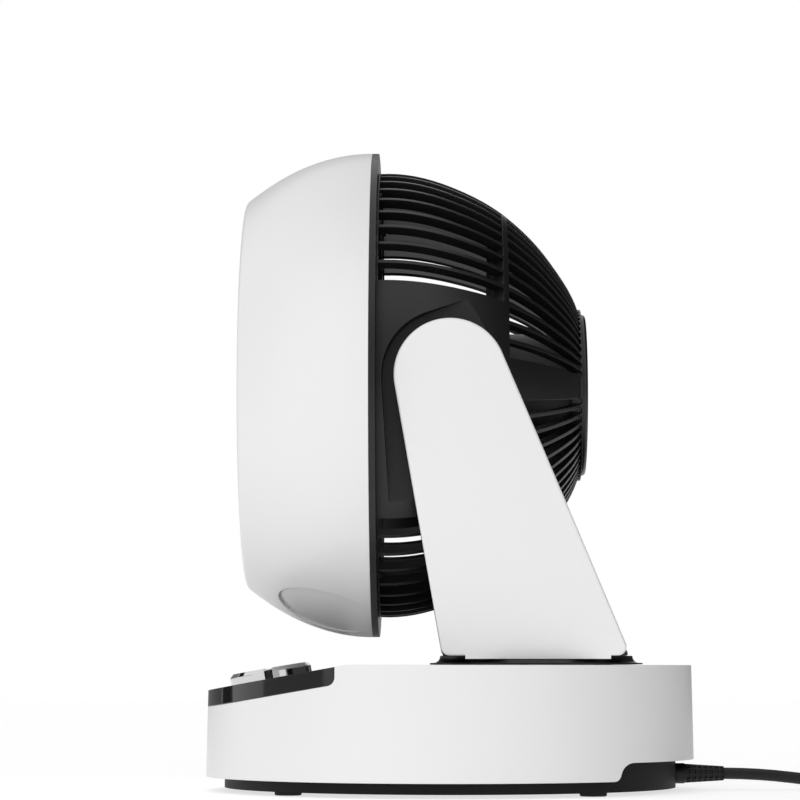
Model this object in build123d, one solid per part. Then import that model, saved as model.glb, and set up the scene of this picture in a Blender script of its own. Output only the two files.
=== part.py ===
"""Air circulator fan: a round head that tilts in a yoke, which turns on a round base.

Millimetres. +Z is up, the fan blows towards -Y, and the origin is on the floor at the
middle of the base. Each function makes one piece in its place, and the list at the end
writes each piece to its own file.
"""
from build123d import *
import os
from math import asin, atan2, cos, hypot, pi, radians, sin, sqrt, tan

# ---------------------------------------------------------------- driving dimensions
# base
BASE_R = 150.0            # outer radius at the floor edge
BASE_DRAFT = 1.5          # how much narrower the base is at its top edge
BASE_TOP_R = BASE_R - BASE_DRAFT
BASE_H = 76.5             # top face above the floor
BASE_EDGE_Z = 8.9         # lower edge of the white shell
BASE_WALL = 2.5
BASE_POST_R = 4.5
BASE_POSTS = ((BASE_R - 36.0, -50.0), (BASE_R - 32.0, 55.0))   # screw posts, mirrored in X
CUT_Y = BASE_R - 52.0     # foot of the step up in the shell's lower edge
CUT_Z = 19.6              # lower edge of the shell behind that step
CUT_SLANT = 3.5           # how far back the step leans
CUT_FILLETS = (4.0, 8.0)  # at its foot and at its top
PLATE_R = BASE_R - 11.5   # underside plate
PLATE_Z = 2.2
PLATE_WALL = 2.5
PLATE_RIM_H = 24.0        # top of the plate's upstanding wall
FOOT_R = 8.0
FOOT_SINK = 1.0           # how far a foot sits in the plate
FEET = ((BASE_R - 65.0, 54.4 - BASE_R), (BASE_R - 52.0, BASE_R - 66.5))   # mirrored in X

# control panel, a black insert in the sloped front of the base
SLOPE_DEG = 9.84
PANEL_Y = 83.0 - BASE_R   # rear edge of the panel
PANEL_Z = BASE_H - 1.2    # height of the slope at that edge
PANEL_BAND = 10.0         # height of the panel's side band
PANEL_CORNER = 5.0
PANEL_WALL = 2.5
SLOPE_BLEND = 40.0        # radius between the slope and the flat top
SEAM = 0.15
KEYS_Y = 40.0 - BASE_R    # middle of the key cluster
KEYS_R = 25.3
KEY_H = 7.0
KEY_CHAMFER = 2.4
KEY_GAP = 5.0             # between two quadrant keys
KEY_HUB_R = 10.6          # inner radius of the keys
KEY_POST_R = 2.6
KEY_TRAVEL = 0.8
KEY_FIT = 0.2             # a key's post in its hole
DISH_DEPTH = 1.1          # how deep the keys' dish is sunk in the panel
POWER_R = 7.6
BOARD_DROP = 13.0         # control board's top face below the panel's surface
BOARD_T = 1.6
BOARD_W = 80.0            # control board, sideways and along the panel
BOARD_D = 62.0
BOARD_SHIFT = 2.0         # its middle behind the keys' middle
SWITCH_H = 3.6
KEY_POST_LEN = BOARD_DROP - SWITCH_H - KEY_TRAVEL - 0.1
POWER_BOARD_Z = 12.0
POWER_BOARD = (-72.0, -8.0, 52.0, 70.0)     # middle X, middle Y, size in X, size in Y

# turntable between base and yoke
PAN_Y = 50.0              # the vertical axis that the yoke turns on
NECK_R = 47.0             # outer radius of the saddle's neck
NECK_WALL = 4.0
NECK_Z = BASE_H - 11.0    # lower end of the neck
RUN_FIT = 0.05            # radial clearance of shafts and bushes
BEARING_WALL = 3.0
SADDLE_Z = BASE_H + 0.5   # underside of the saddle
SADDLE_TOP = SADDLE_Z + 5.0
SADDLE_Y = 57.3           # half width of the saddle's top
SADDLE_SHIFT = 1.3        # how far its middle lies behind the turning axis
SADDLE_CORNER = 50.0
FLARE = 6.0               # how far the saddle's foot spreads
FLARE_T = 0.8
RETAINER_R = 54.0
RETAINER_T = 3.0
PAN_SHAFT_R = 3.5
PAN_MOTOR_R = 25.0
PAN_MOTOR_H = 20.0
PAN_MOTOR_Z = NECK_Z - 31.5

# yoke arms
CHASSIS_R = 150.0         # largest radius of the head
PIVOT_Z = BASE_H + 17.3 + CHASSIS_R   # height of the tilt axis, which is also the fan's axis
PAD_X = 0.78 * CHASSIS_R  # flat pad of the head beside each arm
SADDLE_X = 118.0          # half length of the saddle's top
ARM_R = 32.7              # round top of the arm
ARM_FRONT_DEG = 10.0      # lean of the arm's front edge
ARM_REAR_DEG = 23.2       # lean of the arm's rear edge
ARM_CORNER = 5.0
ARM_IN_PIVOT = PAD_X + 2.3     # inner face beside the head, down to ARM_KNEE_Z
ARM_IN_FOOT = SADDLE_X - 24.0
ARM_KNEE_Z = PIVOT_Z - 80.8
ARM_OUT_LOW = SADDLE_X - 2.45  # outer face at ARM_LOW_Z
ARM_OUT_MID = ARM_IN_PIVOT + 18.2   # outer face at ARM_MID_Z
ARM_OUT_TOP = ARM_IN_PIVOT + 25.3   # outer face at ARM_TOP_Z
ARM_MID_Z = PIVOT_Z - 53.8
ARM_LOW_Z = SADDLE_TOP - 10.0
ARM_TOP_Z = PIVOT_Z + ARM_R + 5.0
COVER_DEPTH = 12.0        # depth of the white outer cover
FRAME_INSET = 0.6         # how far the frame stands back from the cover's edge
ARM_SCREW_X = SADDLE_X - 18.0
ARM_SCREW_Y = (22.0, 78.0)
SCREW_SEAT = 2.4          # how deep the saddle's screws are sunk
ARM_WALL = 2.4
COVER_EDGE = 1.6          # rounding of the cover's outer edge
LIP_DEPTH = 2.0           # the cover's lip in the saddle
LIP_Y = (8.7, 93.3)

# head
BEZEL_BACK_Y = -47.3      # where bezel and chassis ring meet
BEZEL_WALL = 3.0
GRILLE_SEAT_R = 114.0     # inner radius of the bezel's front lip
BEZEL_SHARES = ((1.0, -47.3), (0.8972, -75.0), (0.6472, -98.0), (0.3778, -114.0), (0.2056, -122.5))
BEZEL_PROFILE = tuple((GRILLE_SEAT_R + s * (CHASSIS_R - GRILLE_SEAT_R), y) for s, y in BEZEL_SHARES)
RIM_TIP = (GRILLE_SEAT_R + 3.4, -125.0)    # foremost point of the bezel's rim
LIP_BACK_Y = -107.0
SCOOP_R = 30.0            # finger scoop in the bezel
SCOOP_Y = -73.5
SCOOP_DEG = 20.3          # from straight down, towards each side
SCOOP_SHIFT = 3.4         # how far the scoop's floor is the bezel's own form moved back
CHASSIS_BORE = GRILLE_SEAT_R + 8.0
CHASSIS_T = 4.0
HOUSING_SHARES = (
    (0.9173, -43.3), (0.8927, -11.5), (0.8507, 5.9), (0.8093, 18.9), (0.7453, 33.8),
    (0.6853, 44.4), (0.6027, 56.2), (0.52, 65.5), (0.4367, 73.6), (0.354, 79.2),
)
HOUSING_PROFILE = tuple((s * CHASSIS_R, y) for s, y in HOUSING_SHARES)
CAGE_DEPTH = 6.0          # radial depth of the ribs
RIBS = 60
RIB_T = 2.2
TIER_1 = (-42.3, 32.0)    # front and rear ends of the front slots
TIER_2 = (35.2, 80.0)
PANEL_1_DEG = (66.5, 126.5)   # closed side of the front tier, from straight up
PANEL_2_DEG = (84.0, 96.0)    # closed side of the rear tier
CAP_R = CHASSIS_R / 3
CAP_Y = 84.0
CAP_T = 3.0
MOTOR_DISC_Y = 76.0       # front face of the disc that carries the motor on a tube
CARRIER_R = 38.0          # outer radius of that tube
CARRIER_WALL = 3.0
PAD_WALL = 3.2
POCKET_R = ARM_R + 7.3
POCKET_END = (-35.7, -73.6)   # lower end of the pocket's front wall, from the pivot
POCKET_TOP_DEG = 21.0     # slope of the pocket's upper wall
TRUNNION_R = 15.0
TRUNNION_PIN_R = 8.0
BUSH_R = 11.0
BUSH_LEN = 8.0
BOSS_R = 14.5

# air duct, grille, impeller and motor, all on the fan's axis
DUCT_R = GRILLE_SEAT_R - 3.0
DUCT_WALL = 2.2
GRILLE_T = 6.0
GRILLE_TIP_Y = -123.0
GRILLE_SAG = 9.0
DUCT_Y = (GRILLE_TIP_Y + GRILLE_SAG + GRILLE_T + 0.1, BEZEL_BACK_Y + CHASSIS_T)
GRILLE_VANES = 30
VANE_T = 1.8
VANE_SWEEP_DEG = 42.0
GRILLE_RINGS = (0.465 * GRILLE_SEAT_R, 0.72 * GRILLE_SEAT_R)
GRILLE_HUB_R = 24.0
GRILLE_BORE_R = 10.0
IMPELLER_R = DUCT_R - 3.0
IMPELLER_Y = (-84.0, -46.0)
HUB_R = 30.0
HUB_WALL = 2.5
BLADES = 5
BLADE_T = 2.4
BLADE_SECTIONS = (        # radius, chord and pitch
    (HUB_R - 4.0, 44.0, 48.0), (0.51 * IMPELLER_R, 60.0, 37.0),
    (0.76 * IMPELLER_R, 74.0, 29.0), (IMPELLER_R + 1.5, 82.0, 23.0),
)
SHAFT_R = 4.0
MOTOR_R = 42.0
MOTOR_Y = (-32.0, 18.0)
STATOR_Y = (-16.0, 2.0)
ROTOR_R = 22.0
ROTOR_GAP = 0.5
BEARING_R = 9.5
BEARING_T = 6.0
TILT_MOTOR_R = 24.0
TILT_MOTOR_T = 10.0
TIP_R = 3.5               # drive flat end of the left trunnion

# screws
SCREW_R = 1.5
SCREW_HEAD_R = 3.0
SCREW_HEAD_T = 1.6
HEAD_SCREWS_DEG = (33, 147, 213, 327, 3, 183)
HEAD_SCREW_PCR = CHASSIS_R - 15.4

# mains cord
CORD_R = 3.6
CORD_Z = 10.3             # height of the cord where it leaves the base
RELIEF_END_Y = PLATE_R + 29.8
RELIEF_ROOT_R = 6.25
RELIEF_TIP_R = 4.4
RELIEF_NECK_R = 4.6
RELIEF_FLANGE_R = 5.3     # inside the plate's wall
COIL_PITCH = 7.7          # from one turn to the next, sideways and upwards
COIL_R = 51.5             # from the coil's middle to the first turn
COIL_Y = PLATE_R + 145.5
COIL_LIFT = 0.9           # the tie's band passes under the coil
HALF_TURNS_LOWER = 5
HALF_TURNS_UPPER = 6
TIE_W = 8.0
TIE_T = 0.7
PLUG_W = 35.3
PLUG_T = 13.7
PLUG_LEN = 30.0
PIN_R = 2.0
PIN_LEN = 19.0
PIN_SPACING = 18.6
PLUG_X = 91.0
PLUG_BACK_Y = COIL_Y + 7.0     # where the cord enters the plug

CONTACT = 0.3             # gap between faces that only lie beside each other
LOW = (Align.CENTER, Align.CENTER, Align.MIN)


# ---------------------------------------------------------------- shared shapes
def rod_z(radius, z0, z1, x=0.0, y=0.0):
    """An upright cylinder."""
    return Pos(x, y, z0) * Cylinder(radius, z1 - z0, align=LOW)


def ring_z(inner, outer, z0, z1, x=0.0, y=0.0):
    """An upright ring."""
    return rod_z(outer, z0, z1, x, y) - rod_z(inner, z0 - 1, z1 + 1, x, y)


def rod_y(radius, y0, y1, x=0.0, z=PIVOT_Z):
    """A cylinder along Y, on the fan's axis unless x and z say otherwise."""
    return Pos(x, y0, z) * Rot(-90, 0, 0) * Cylinder(radius, y1 - y0, align=LOW)


def ring_y(inner, outer, y0, y1):
    """A ring about the fan's axis."""
    return rod_y(outer, y0, y1) - rod_y(inner, y0 - 1, y1 + 1)


def rod_x(radius, x0, x1, y=0.0, z=PIVOT_Z):
    """A cylinder along X, on the tilt axis unless y and z say otherwise."""
    return Pos(x0, y, z) * Rot(0, 90, 0) * Cylinder(radius, x1 - x0, align=LOW)


def turned_on_fan_axis(face):
    """A face in the XY plane, drawn as radius and Y, turned about the fan's axis."""
    return Pos(0, 0, PIVOT_Z) * revolve(face, Axis.Y)


def polar(radius, deg):
    """X and Z of a point at an angle from straight up, towards +X."""
    return radius * sin(radians(deg)), radius * cos(radians(deg))


def moved_inward(points, wall):
    """Points of an open profile moved square to it by a wall, towards the axis."""
    shifted = []
    for i, (r, y) in enumerate(points):
        ra, ya = points[max(i - 1, 0)]
        rb, yb = points[min(i + 1, len(points) - 1)]
        length = hypot(rb - ra, yb - ya)
        side = 1.0 if yb > ya else -1.0
        shifted.append((r - side * wall * (yb - ya) / length, y + side * wall * (rb - ra) / length))
    return shifted


def screw(length):
    """A pan-head screw, head up at z 0, shank down."""
    head = Cylinder(SCREW_HEAD_R, SCREW_HEAD_T, align=LOW)
    slot = Pos(0, 0, SCREW_HEAD_T) * Box(2 * SCREW_HEAD_R + 1, 0.8, 1.2)
    shank = Pos(0, 0, -length) * Cylinder(SCREW_R, length, align=LOW)
    return head - slot + shank


# ---------------------------------------------------------------- base
def slope_z(y):
    """Height of the sloped front at a given Y."""
    return PANEL_Z + (y - PANEL_Y) * tan(radians(SLOPE_DEG))


def base_body(inset, z0):
    """The base's outer form, made smaller all round by inset, from z0 up."""
    reach = BASE_R + 20
    knee_y = PANEL_Y + (BASE_H - PANEL_Z) / tan(radians(SLOPE_DEG))
    side = Polyline(
        (-reach, z0), (reach, z0), (reach, BASE_H - inset), (knee_y, BASE_H - inset),
        (-reach, slope_z(-reach) - inset), close=True,
    )
    profile = make_face(side)
    knee = profile.vertices().sort_by_distance((knee_y, BASE_H - inset, 0))[0]
    profile = fillet(knee, SLOPE_BLEND)
    block = extrude(Plane.YZ * profile, reach, both=True)
    draft = (BASE_R - BASE_TOP_R) / BASE_H
    low_r = BASE_R - inset - draft * z0
    top_r = BASE_TOP_R - inset - draft * inset
    cone = revolve(
        Plane.XZ * make_face(Polyline(
            (0, z0), (low_r, z0), (top_r, BASE_H + inset), (0, BASE_H + inset), close=True)),
        Axis.Z,
    )
    return block & cone


def panel_region(seam):
    """The space in front of and above the black panel's lower edge."""
    reach = BASE_R + 20
    low = PANEL_BAND / cos(radians(SLOPE_DEG)) + seam
    rear = PANEL_Y + seam
    outline = Polyline(
        (rear, BASE_H + 20), (rear, slope_z(rear) - low), (-reach, slope_z(-reach) - low),
        (-reach, BASE_H + 20), close=True,
    )
    face = make_face(outline)
    corner = face.vertices().sort_by_distance((rear, slope_z(rear) - low, 0))[0]
    face = fillet(corner, PANEL_CORNER + seam)
    return extrude(Plane.YZ * face, reach, both=True)


def shell_edge(lift, height):
    """A band that follows the shell's lower edge, from front to rear, lift above it."""
    reach = BASE_R + 20
    steps = [(-reach, BASE_EDGE_Z + lift), (CUT_Y - lift, BASE_EDGE_Z + lift),
             (CUT_Y + CUT_SLANT - lift, CUT_Z + lift), (reach, CUT_Z + lift)]
    face = make_face(Polyline(*steps, (reach, CUT_Z + height), (-reach, CUT_Z + height), close=True))
    for (y, z), radius in zip(steps[1:3], CUT_FILLETS):
        face = fillet(face.vertices().sort_by_distance((y, z, 0))[0], radius)
    return extrude(Plane.YZ * face, reach, both=True)


def make_base_shell():
    """White round shell with a sloped front, a neck hole and a step in its rear edge."""
    shell = base_body(0, BASE_EDGE_Z) - base_body(BASE_WALL, BASE_EDGE_Z - 5)
    shell = shell & shell_edge(0, 2 * BASE_H)
    shell = shell - panel_region(SEAM)
    top = BASE_H - BASE_WALL / 2
    for x, y in BASE_POSTS:
        for side in (-1, 1):
            post = rod_z(BASE_POST_R, PLATE_Z + PLATE_WALL, top, side * x, y)
            pilot = rod_z(SCREW_R, PLATE_Z, PLATE_Z + 18, side * x, y)
            shell = shell + post - pilot
    return shell - rod_z(NECK_R + RUN_FIT + BEARING_WALL, BASE_H - 10, BASE_H + 10, 0, PAN_Y)


def make_base_plate():
    """Black underside tray: floor, wall, a flange that follows the shell's edge, posts."""
    floor_z = PLATE_Z + PLATE_WALL
    plate = rod_z(PLATE_R, PLATE_Z, floor_z)
    plate = plate + ring_z(PLATE_R - PLATE_WALL, PLATE_R, PLATE_Z, PLATE_RIM_H)
    draft = (BASE_R - BASE_TOP_R) / BASE_H
    narrowest = BASE_R - max(draft * BASE_EDGE_Z, draft * PLATE_RIM_H)
    flange_r = narrowest - BASE_WALL - CONTACT
    flange = ring_z(PLATE_R - 1, flange_r, BASE_EDGE_Z - 1, PLATE_RIM_H)
    flange = flange & (shell_edge(0, 2 * BASE_H) - shell_edge(PLATE_WALL, 3 * BASE_H))
    plate = plate + flange
    for x, y in BASE_POSTS:
        for side in (-1, 1):
            plate = plate - rod_z(SCREW_R + 0.3, 0, 10, side * x, y)
            plate = plate - rod_z(SCREW_HEAD_R + 0.4, 0, PLATE_Z + SCREW_HEAD_T, side * x, y)
    for x, y in FEET:
        for side in (-1, 1):
            plate = plate - rod_z(FOOT_R, 0, PLATE_Z + FOOT_SINK, side * x, y)
    for x, y in pan_motor_ears():
        plate = plate + rod_z(4.0, floor_z, PAN_MOTOR_Z + PAN_MOTOR_H - 3, x, y)
    for x, y in power_board_posts():
        plate = plate + rod_z(3.0, floor_z, POWER_BOARD_Z, x, y)
    return plate - rod_y(RELIEF_NECK_R, PLATE_R - 10, PLATE_R + 10, 0, CORD_Z)


def pan_motor_ears():
    """Where the turntable motor is screwed to its posts."""
    return [(side * (PAN_MOTOR_R + 7), PAN_Y) for side in (-1, 1)]


def power_board_posts():
    """Where the power board stands on the plate."""
    x, y, w, d = POWER_BOARD
    return [(x + i * (w / 2 - 5), y + j * (d / 2 - 5)) for i in (-1, 1) for j in (-1, 1)]


def make_rubber_feet():
    """Four rubber discs in the plate's sockets."""
    feet = []
    for x, y in FEET:
        for side in (-1, 1):
            foot = rod_z(FOOT_R, 0, PLATE_Z + FOOT_SINK, side * x, y)
            feet.append(chamfer(foot.edges().group_by(Axis.Z)[0], 0.6))
    return Compound(feet)


def make_base_screws():
    """Screws that hold the plate to the shell's posts."""
    lift = PLATE_Z + SCREW_HEAD_T
    return Compound([
        Pos(side * x, y, lift) * Rot(180, 0, 0) * screw(13.0)
        for x, y in BASE_POSTS for side in (-1, 1)
    ])


def on_panel(x, y, z):
    """Place something on the panel: x and y along its face from the keys, z square to it."""
    face = Plane(origin=(0, KEYS_Y, slope_z(KEYS_Y)), x_dir=(1, 0, 0),
                 z_dir=(0, -sin(radians(SLOPE_DEG)), cos(radians(SLOPE_DEG))))
    return face.location * Pos(x, y, z)


def key_centres():
    """Places of the four quadrant keys' posts, from the middle of the cluster."""
    reach = (KEYS_R + KEY_HUB_R) / 2
    return {
        name: (reach * cos(radians(deg)), reach * sin(radians(deg)), deg)
        for name, deg in (("rear_right", 45), ("rear_left", 135), ("front_left", 225), ("front_right", 315))
    }


def make_control_panel():
    """Glossy black insert: sloped face, side band, dish with key holes, board posts."""
    panel = (base_body(0, 20) & panel_region(0)) - base_body(PANEL_WALL, 10)
    under = -(PANEL_WALL + DISH_DEPTH)
    dish = KEYS_R + 1.2
    panel = panel + on_panel(0, 0, under) * Cylinder(dish + 2, DISH_DEPTH + 1, align=LOW)
    panel = panel - on_panel(0, 0, -DISH_DEPTH) * Cylinder(dish, 9, align=LOW)
    for x, y, _ in key_centres().values():
        panel = panel - on_panel(x, y, under - 5) * Cylinder(KEY_POST_R + KEY_FIT, 12, align=LOW)
    panel = panel - on_panel(0, 0, under - 5) * Cylinder(KEY_POST_R + KEY_FIT, 12, align=LOW)
    for x in (6 - BOARD_W / 2, BOARD_W / 2 - 6):
        for y in (BOARD_SHIFT + 7 - BOARD_D / 2, BOARD_SHIFT + BOARD_D / 2 - 7):
            post = on_panel(x, y, -BOARD_DROP) * Cylinder(2.6, BOARD_DROP - 1, align=LOW)
            panel = panel + post
    under = -PANEL_WALL * cos(radians(SLOPE_DEG)) - 1.0
    tongue = Pos(0, -2, under) * Box(2 * BASE_R - 110, 10, 2.0)
    tongue = Pos(0, PANEL_Y, PANEL_Z) * Rot(SLOPE_DEG, 0, 0) * tongue
    return panel + tongue


def make_key_frame():
    """Black cross and ring that stand between the keys and round the power button."""
    cross_w = KEY_GAP - 2 * 0.6
    ring_r = KEY_HUB_R - 0.5
    height = DISH_DEPTH + KEY_H - 1.2
    reach = KEYS_R - 1.0
    frame = Cylinder(ring_r, height, align=LOW)
    frame = frame + Box(2 * reach, cross_w, height, align=LOW) + Box(cross_w, 2 * reach, height, align=LOW)
    frame = frame - Cylinder(POWER_R + 0.35, height + 1, align=LOW)
    return on_panel(0, 0, -DISH_DEPTH) * frame


def make_key(deg):
    """A chrome quadrant key with its post and snap collar."""
    gap = KEY_GAP / 2
    face = Circle(KEYS_R) - Circle(KEY_HUB_R)
    face = face & Pos(gap, gap) * Rectangle(KEYS_R, KEYS_R, align=(Align.MIN, Align.MIN))
    cap = extrude(face, KEY_H)
    top = cap.faces().sort_by(Axis.Z)[-1]
    rim = top.edges().filter_by(GeomType.CIRCLE).sort_by(SortBy.LENGTH)[-1]
    cap = chamfer(rim, KEY_CHAMFER)
    reach = (KEYS_R + KEY_HUB_R) / 2 * sqrt(0.5)
    post = Pos(reach, reach, -KEY_POST_LEN) * Cylinder(KEY_POST_R, KEY_POST_LEN + 1, align=LOW)
    collar_z = -(PANEL_WALL + DISH_DEPTH + 0.3 + 1.2)
    collar = Pos(reach, reach, collar_z) * Cylinder(KEY_POST_R + 1.0, 1.2, align=LOW)
    return on_panel(0, 0, 0) * Rot(0, 0, deg - 45) * (cap + post + collar)


def make_power_button():
    """Round button in the middle of the cluster."""
    cap = Cylinder(POWER_R, KEY_H - 0.4, align=LOW)
    cap = fillet(cap.edges().group_by(Axis.Z)[-1], 0.8)
    post = Pos(0, 0, -KEY_POST_LEN) * Cylinder(KEY_POST_R, KEY_POST_LEN + 1, align=LOW)
    collar_z = -(PANEL_WALL + DISH_DEPTH + 0.3 + 1.2)
    collar = Pos(0, 0, collar_z) * Cylinder(KEY_POST_R + 1.0, 1.2, align=LOW)
    return on_panel(0, 0, 0) * (cap + post + collar)


def make_control_board():
    """Circuit board under the panel."""
    return on_panel(0, BOARD_SHIFT, -BOARD_DROP - BOARD_T) * Box(BOARD_W, BOARD_D, BOARD_T, align=LOW)


def make_tact_switches():
    """One small switch on the board under each key's post."""
    places = [(x, y) for x, y, _ in key_centres().values()] + [(0.0, 0.0)]
    switches = []
    for x, y in places:
        case = on_panel(x, y, -BOARD_DROP) * Box(6, 6, SWITCH_H - 0.9, align=LOW)
        stem = on_panel(x, y, -BOARD_DROP + 1) * Cylinder(1.7, SWITCH_H - 1, align=LOW)
        switches.append(case + stem)
    return Compound(switches)


def make_power_board():
    """Mains board on its posts."""
    x, y, w, d = POWER_BOARD
    return Pos(x, y, POWER_BOARD_Z) * Box(w, d, BOARD_T, align=LOW)


def make_board_parts():
    """Transformer, capacitor and terminal block on the mains board."""
    x, y, _, _ = POWER_BOARD
    z = POWER_BOARD_Z + BOARD_T
    core = Pos(x, y + 14, z) * Box(24, 20, 18, align=LOW)
    can = Pos(x - 10, y - 8, z) * Cylinder(5, 16, align=LOW)
    block = Pos(x + 8, y - 22, z) * Box(22, 9, 10, align=LOW)
    return Compound([core, can, block])


# ---------------------------------------------------------------- turntable
def make_turntable_bearing():
    """Slippery ring in the base's neck hole, with a flange under the base's top."""
    inner = NECK_R + RUN_FIT
    outer = inner + BEARING_WALL
    under = BASE_H - BASE_WALL
    sleeve = ring_z(inner, outer, NECK_Z + 0.5, SADDLE_Z - 0.1, 0, PAN_Y)
    flange = ring_z(inner + 1, outer + 6, under - 2.5, under, 0, PAN_Y)
    return sleeve + flange


def make_turntable_retainer():
    """Disc under the neck that keeps the yoke from lifting, with the drive hub."""
    disc = rod_z(RETAINER_R, NECK_Z - RETAINER_T, NECK_Z, 0, PAN_Y)
    for deg in range(30, 390, 60):
        x, y = polar(26, deg)
        disc = disc - rod_z(8, 0, 90, x, PAN_Y + y)
    hub = rod_z(9, NECK_Z - RETAINER_T - 3, NECK_Z + 4, 0, PAN_Y)
    return disc + hub - rod_z(PAN_SHAFT_R, NECK_Z - 20, NECK_Z + 2, 0, PAN_Y)


def make_pan_motor():
    """Geared motor that turns the yoke, hung on two posts of the plate."""
    top = PAN_MOTOR_Z + PAN_MOTOR_H
    case = rod_z(PAN_MOTOR_R, PAN_MOTOR_Z, top, 0, PAN_Y)
    case = case + rod_z(10, top, top + 2.5, 0, PAN_Y)
    for x, y in pan_motor_ears():
        ear = Pos(x * 0.8, y, top - 3) * Box(abs(x) * 0.4 + 8, 8, 2.0, align=LOW)
        case = case + ear + rod_z(4, top - 3, top - 1, x, y)
    return case - rod_z(PAN_SHAFT_R + RUN_FIT, top - 14, top + 5, 0, PAN_Y)


def make_pan_shaft():
    """Steel shaft from the motor into the retainer's hub."""
    return rod_z(PAN_SHAFT_R, PAN_MOTOR_Z + PAN_MOTOR_H - 12, NECK_Z + 2, 0, PAN_Y)


def make_yoke_saddle():
    """Black flared foot of the yoke with the neck that runs in the base."""
    foot = RectangleRounded(2 * (SADDLE_X + FLARE), 2 * (SADDLE_Y + FLARE), SADDLE_CORNER + FLARE)
    top = RectangleRounded(2 * SADDLE_X, 2 * SADDLE_Y, SADDLE_CORNER)
    saddle = extrude(foot, FLARE_T) + extrude(top, SADDLE_TOP - SADDLE_Z)
    step = [e for e in saddle.edges() if abs(e.center().Z - FLARE_T) < 0.01]
    outline = top.face().outer_wire().moved(Location((0, 0, FLARE_T)))
    inner = [e for e in step if outline.distance_to(e @ 0.5) < 0.01]
    saddle = fillet(inner, SADDLE_TOP - SADDLE_Z - FLARE_T - 0.2)
    middle_y = PAN_Y + SADDLE_SHIFT
    saddle = Pos(0, middle_y, SADDLE_Z) * saddle
    pocket = extrude(RectangleRounded(2 * SADDLE_X - 12, 2 * SADDLE_Y - 12, SADDLE_CORNER - 6), 2.0)
    pocket = Pos(0, middle_y, SADDLE_Z) * pocket - rod_z(NECK_R + 12, 0, SADDLE_TOP, 0, PAN_Y)
    neck = ring_z(NECK_R - NECK_WALL, NECK_R, NECK_Z, SADDLE_Z + 1, 0, PAN_Y)
    saddle = saddle - pocket + neck
    notch_y = (LIP_Y[0] + LIP_Y[1]) / 2
    notch_w = LIP_Y[1] - LIP_Y[0] + 2 * CONTACT
    for side in (-1, 1):
        x = side * (SADDLE_X + 5 - ARM_WALL - 1.0)
        notch = Pos(x, notch_y, SADDLE_TOP - LIP_DEPTH - CONTACT) * Box(10, notch_w, 8, align=LOW)
        saddle = saddle - notch
        for y in ARM_SCREW_Y:
            saddle = saddle + rod_z(SCREW_HEAD_R + 2, SADDLE_Z, SADDLE_TOP - 1, side * ARM_SCREW_X, y)
            saddle = saddle - rod_z(SCREW_R + 0.3, 0, SADDLE_TOP + 1, side * ARM_SCREW_X, y)
            head = rod_z(SCREW_HEAD_R + 0.4, 0, SADDLE_Z + SCREW_SEAT, side * ARM_SCREW_X, y)
            saddle = saddle - head
    return saddle


# ---------------------------------------------------------------- arms
def arm_outline(inset, foot_z, corner):
    """Side view of an arm: round top about the pivot and two leaning edges."""
    r = ARM_R - inset
    front, rear = radians(ARM_FRONT_DEG), radians(ARM_REAR_DEG)
    front_y, front_z = -r * cos(front), -r * sin(front)
    rear_y, rear_z = r * cos(rear), r * sin(rear)
    drop = PIVOT_Z - foot_z
    foot_front = front_y + (front_z + drop) * tan(front)
    foot_rear = rear_y + (rear_z + drop) * tan(rear)
    edges = [
        ThreePointArc((front_y, front_z), (0, r), (rear_y, rear_z)),
        Polyline((rear_y, rear_z), (foot_rear, -drop), (foot_front, -drop), (front_y, front_z)),
    ]
    face = make_face(edges)
    if corner > 0:
        feet = face.vertices().group_by(Axis.Y)[0]
        face = fillet(feet, corner)
    return (Plane.YZ * face).moved(Location((0, 0, PIVOT_Z)))


def arm_prism(inset, foot_z, corner):
    """The arm's side view drawn out sideways past both faces."""
    return extrude(arm_outline(inset, foot_z, corner), CHASSIS_R + 10)


def outer_face(shift):
    """The arm's bowed outer line in front view, moved in by shift, with its two ends."""
    low = (ARM_OUT_LOW - shift, ARM_LOW_Z)
    middle = (ARM_OUT_MID - shift, ARM_MID_Z)
    top = (ARM_OUT_TOP - shift, ARM_TOP_Z)
    return [ThreePointArc(low, middle, top)], low, top


def slab_between(outer_shift, inner_edges, inner_low, inner_top):
    """An arm's front view, from its outer face to an inner line, drawn out along Y."""
    edges, low, top = outer_face(outer_shift)
    closing = [Line(inner_low, low), Line(top, inner_top)]
    return extrude(Plane.XZ * make_face(edges + inner_edges + closing), 200, both=True)


def cover_slab(outer_shift, inner_shift):
    """The space between two copies of the arm's bowed outer face."""
    return slab_between(outer_shift, *outer_face(inner_shift))


def frame_slab(outer_shift, wall):
    """The space between the bowed face moved in and the arm's inner face moved out."""
    points = inner_face(wall)
    return slab_between(outer_shift, [Polyline(*points)], points[0], points[-1])


def inner_face(shift):
    """The arm's inner line in front view, from low to high, moved out by shift."""
    lean = (ARM_IN_PIVOT - ARM_IN_FOOT) / (ARM_KNEE_Z - SADDLE_TOP)
    return [
        (ARM_IN_FOOT - (SADDLE_TOP - ARM_LOW_Z) * lean + shift, ARM_LOW_Z),
        (ARM_IN_PIVOT + shift, ARM_KNEE_Z),
        (ARM_IN_PIVOT + shift, ARM_TOP_Z),
    ]


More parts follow.
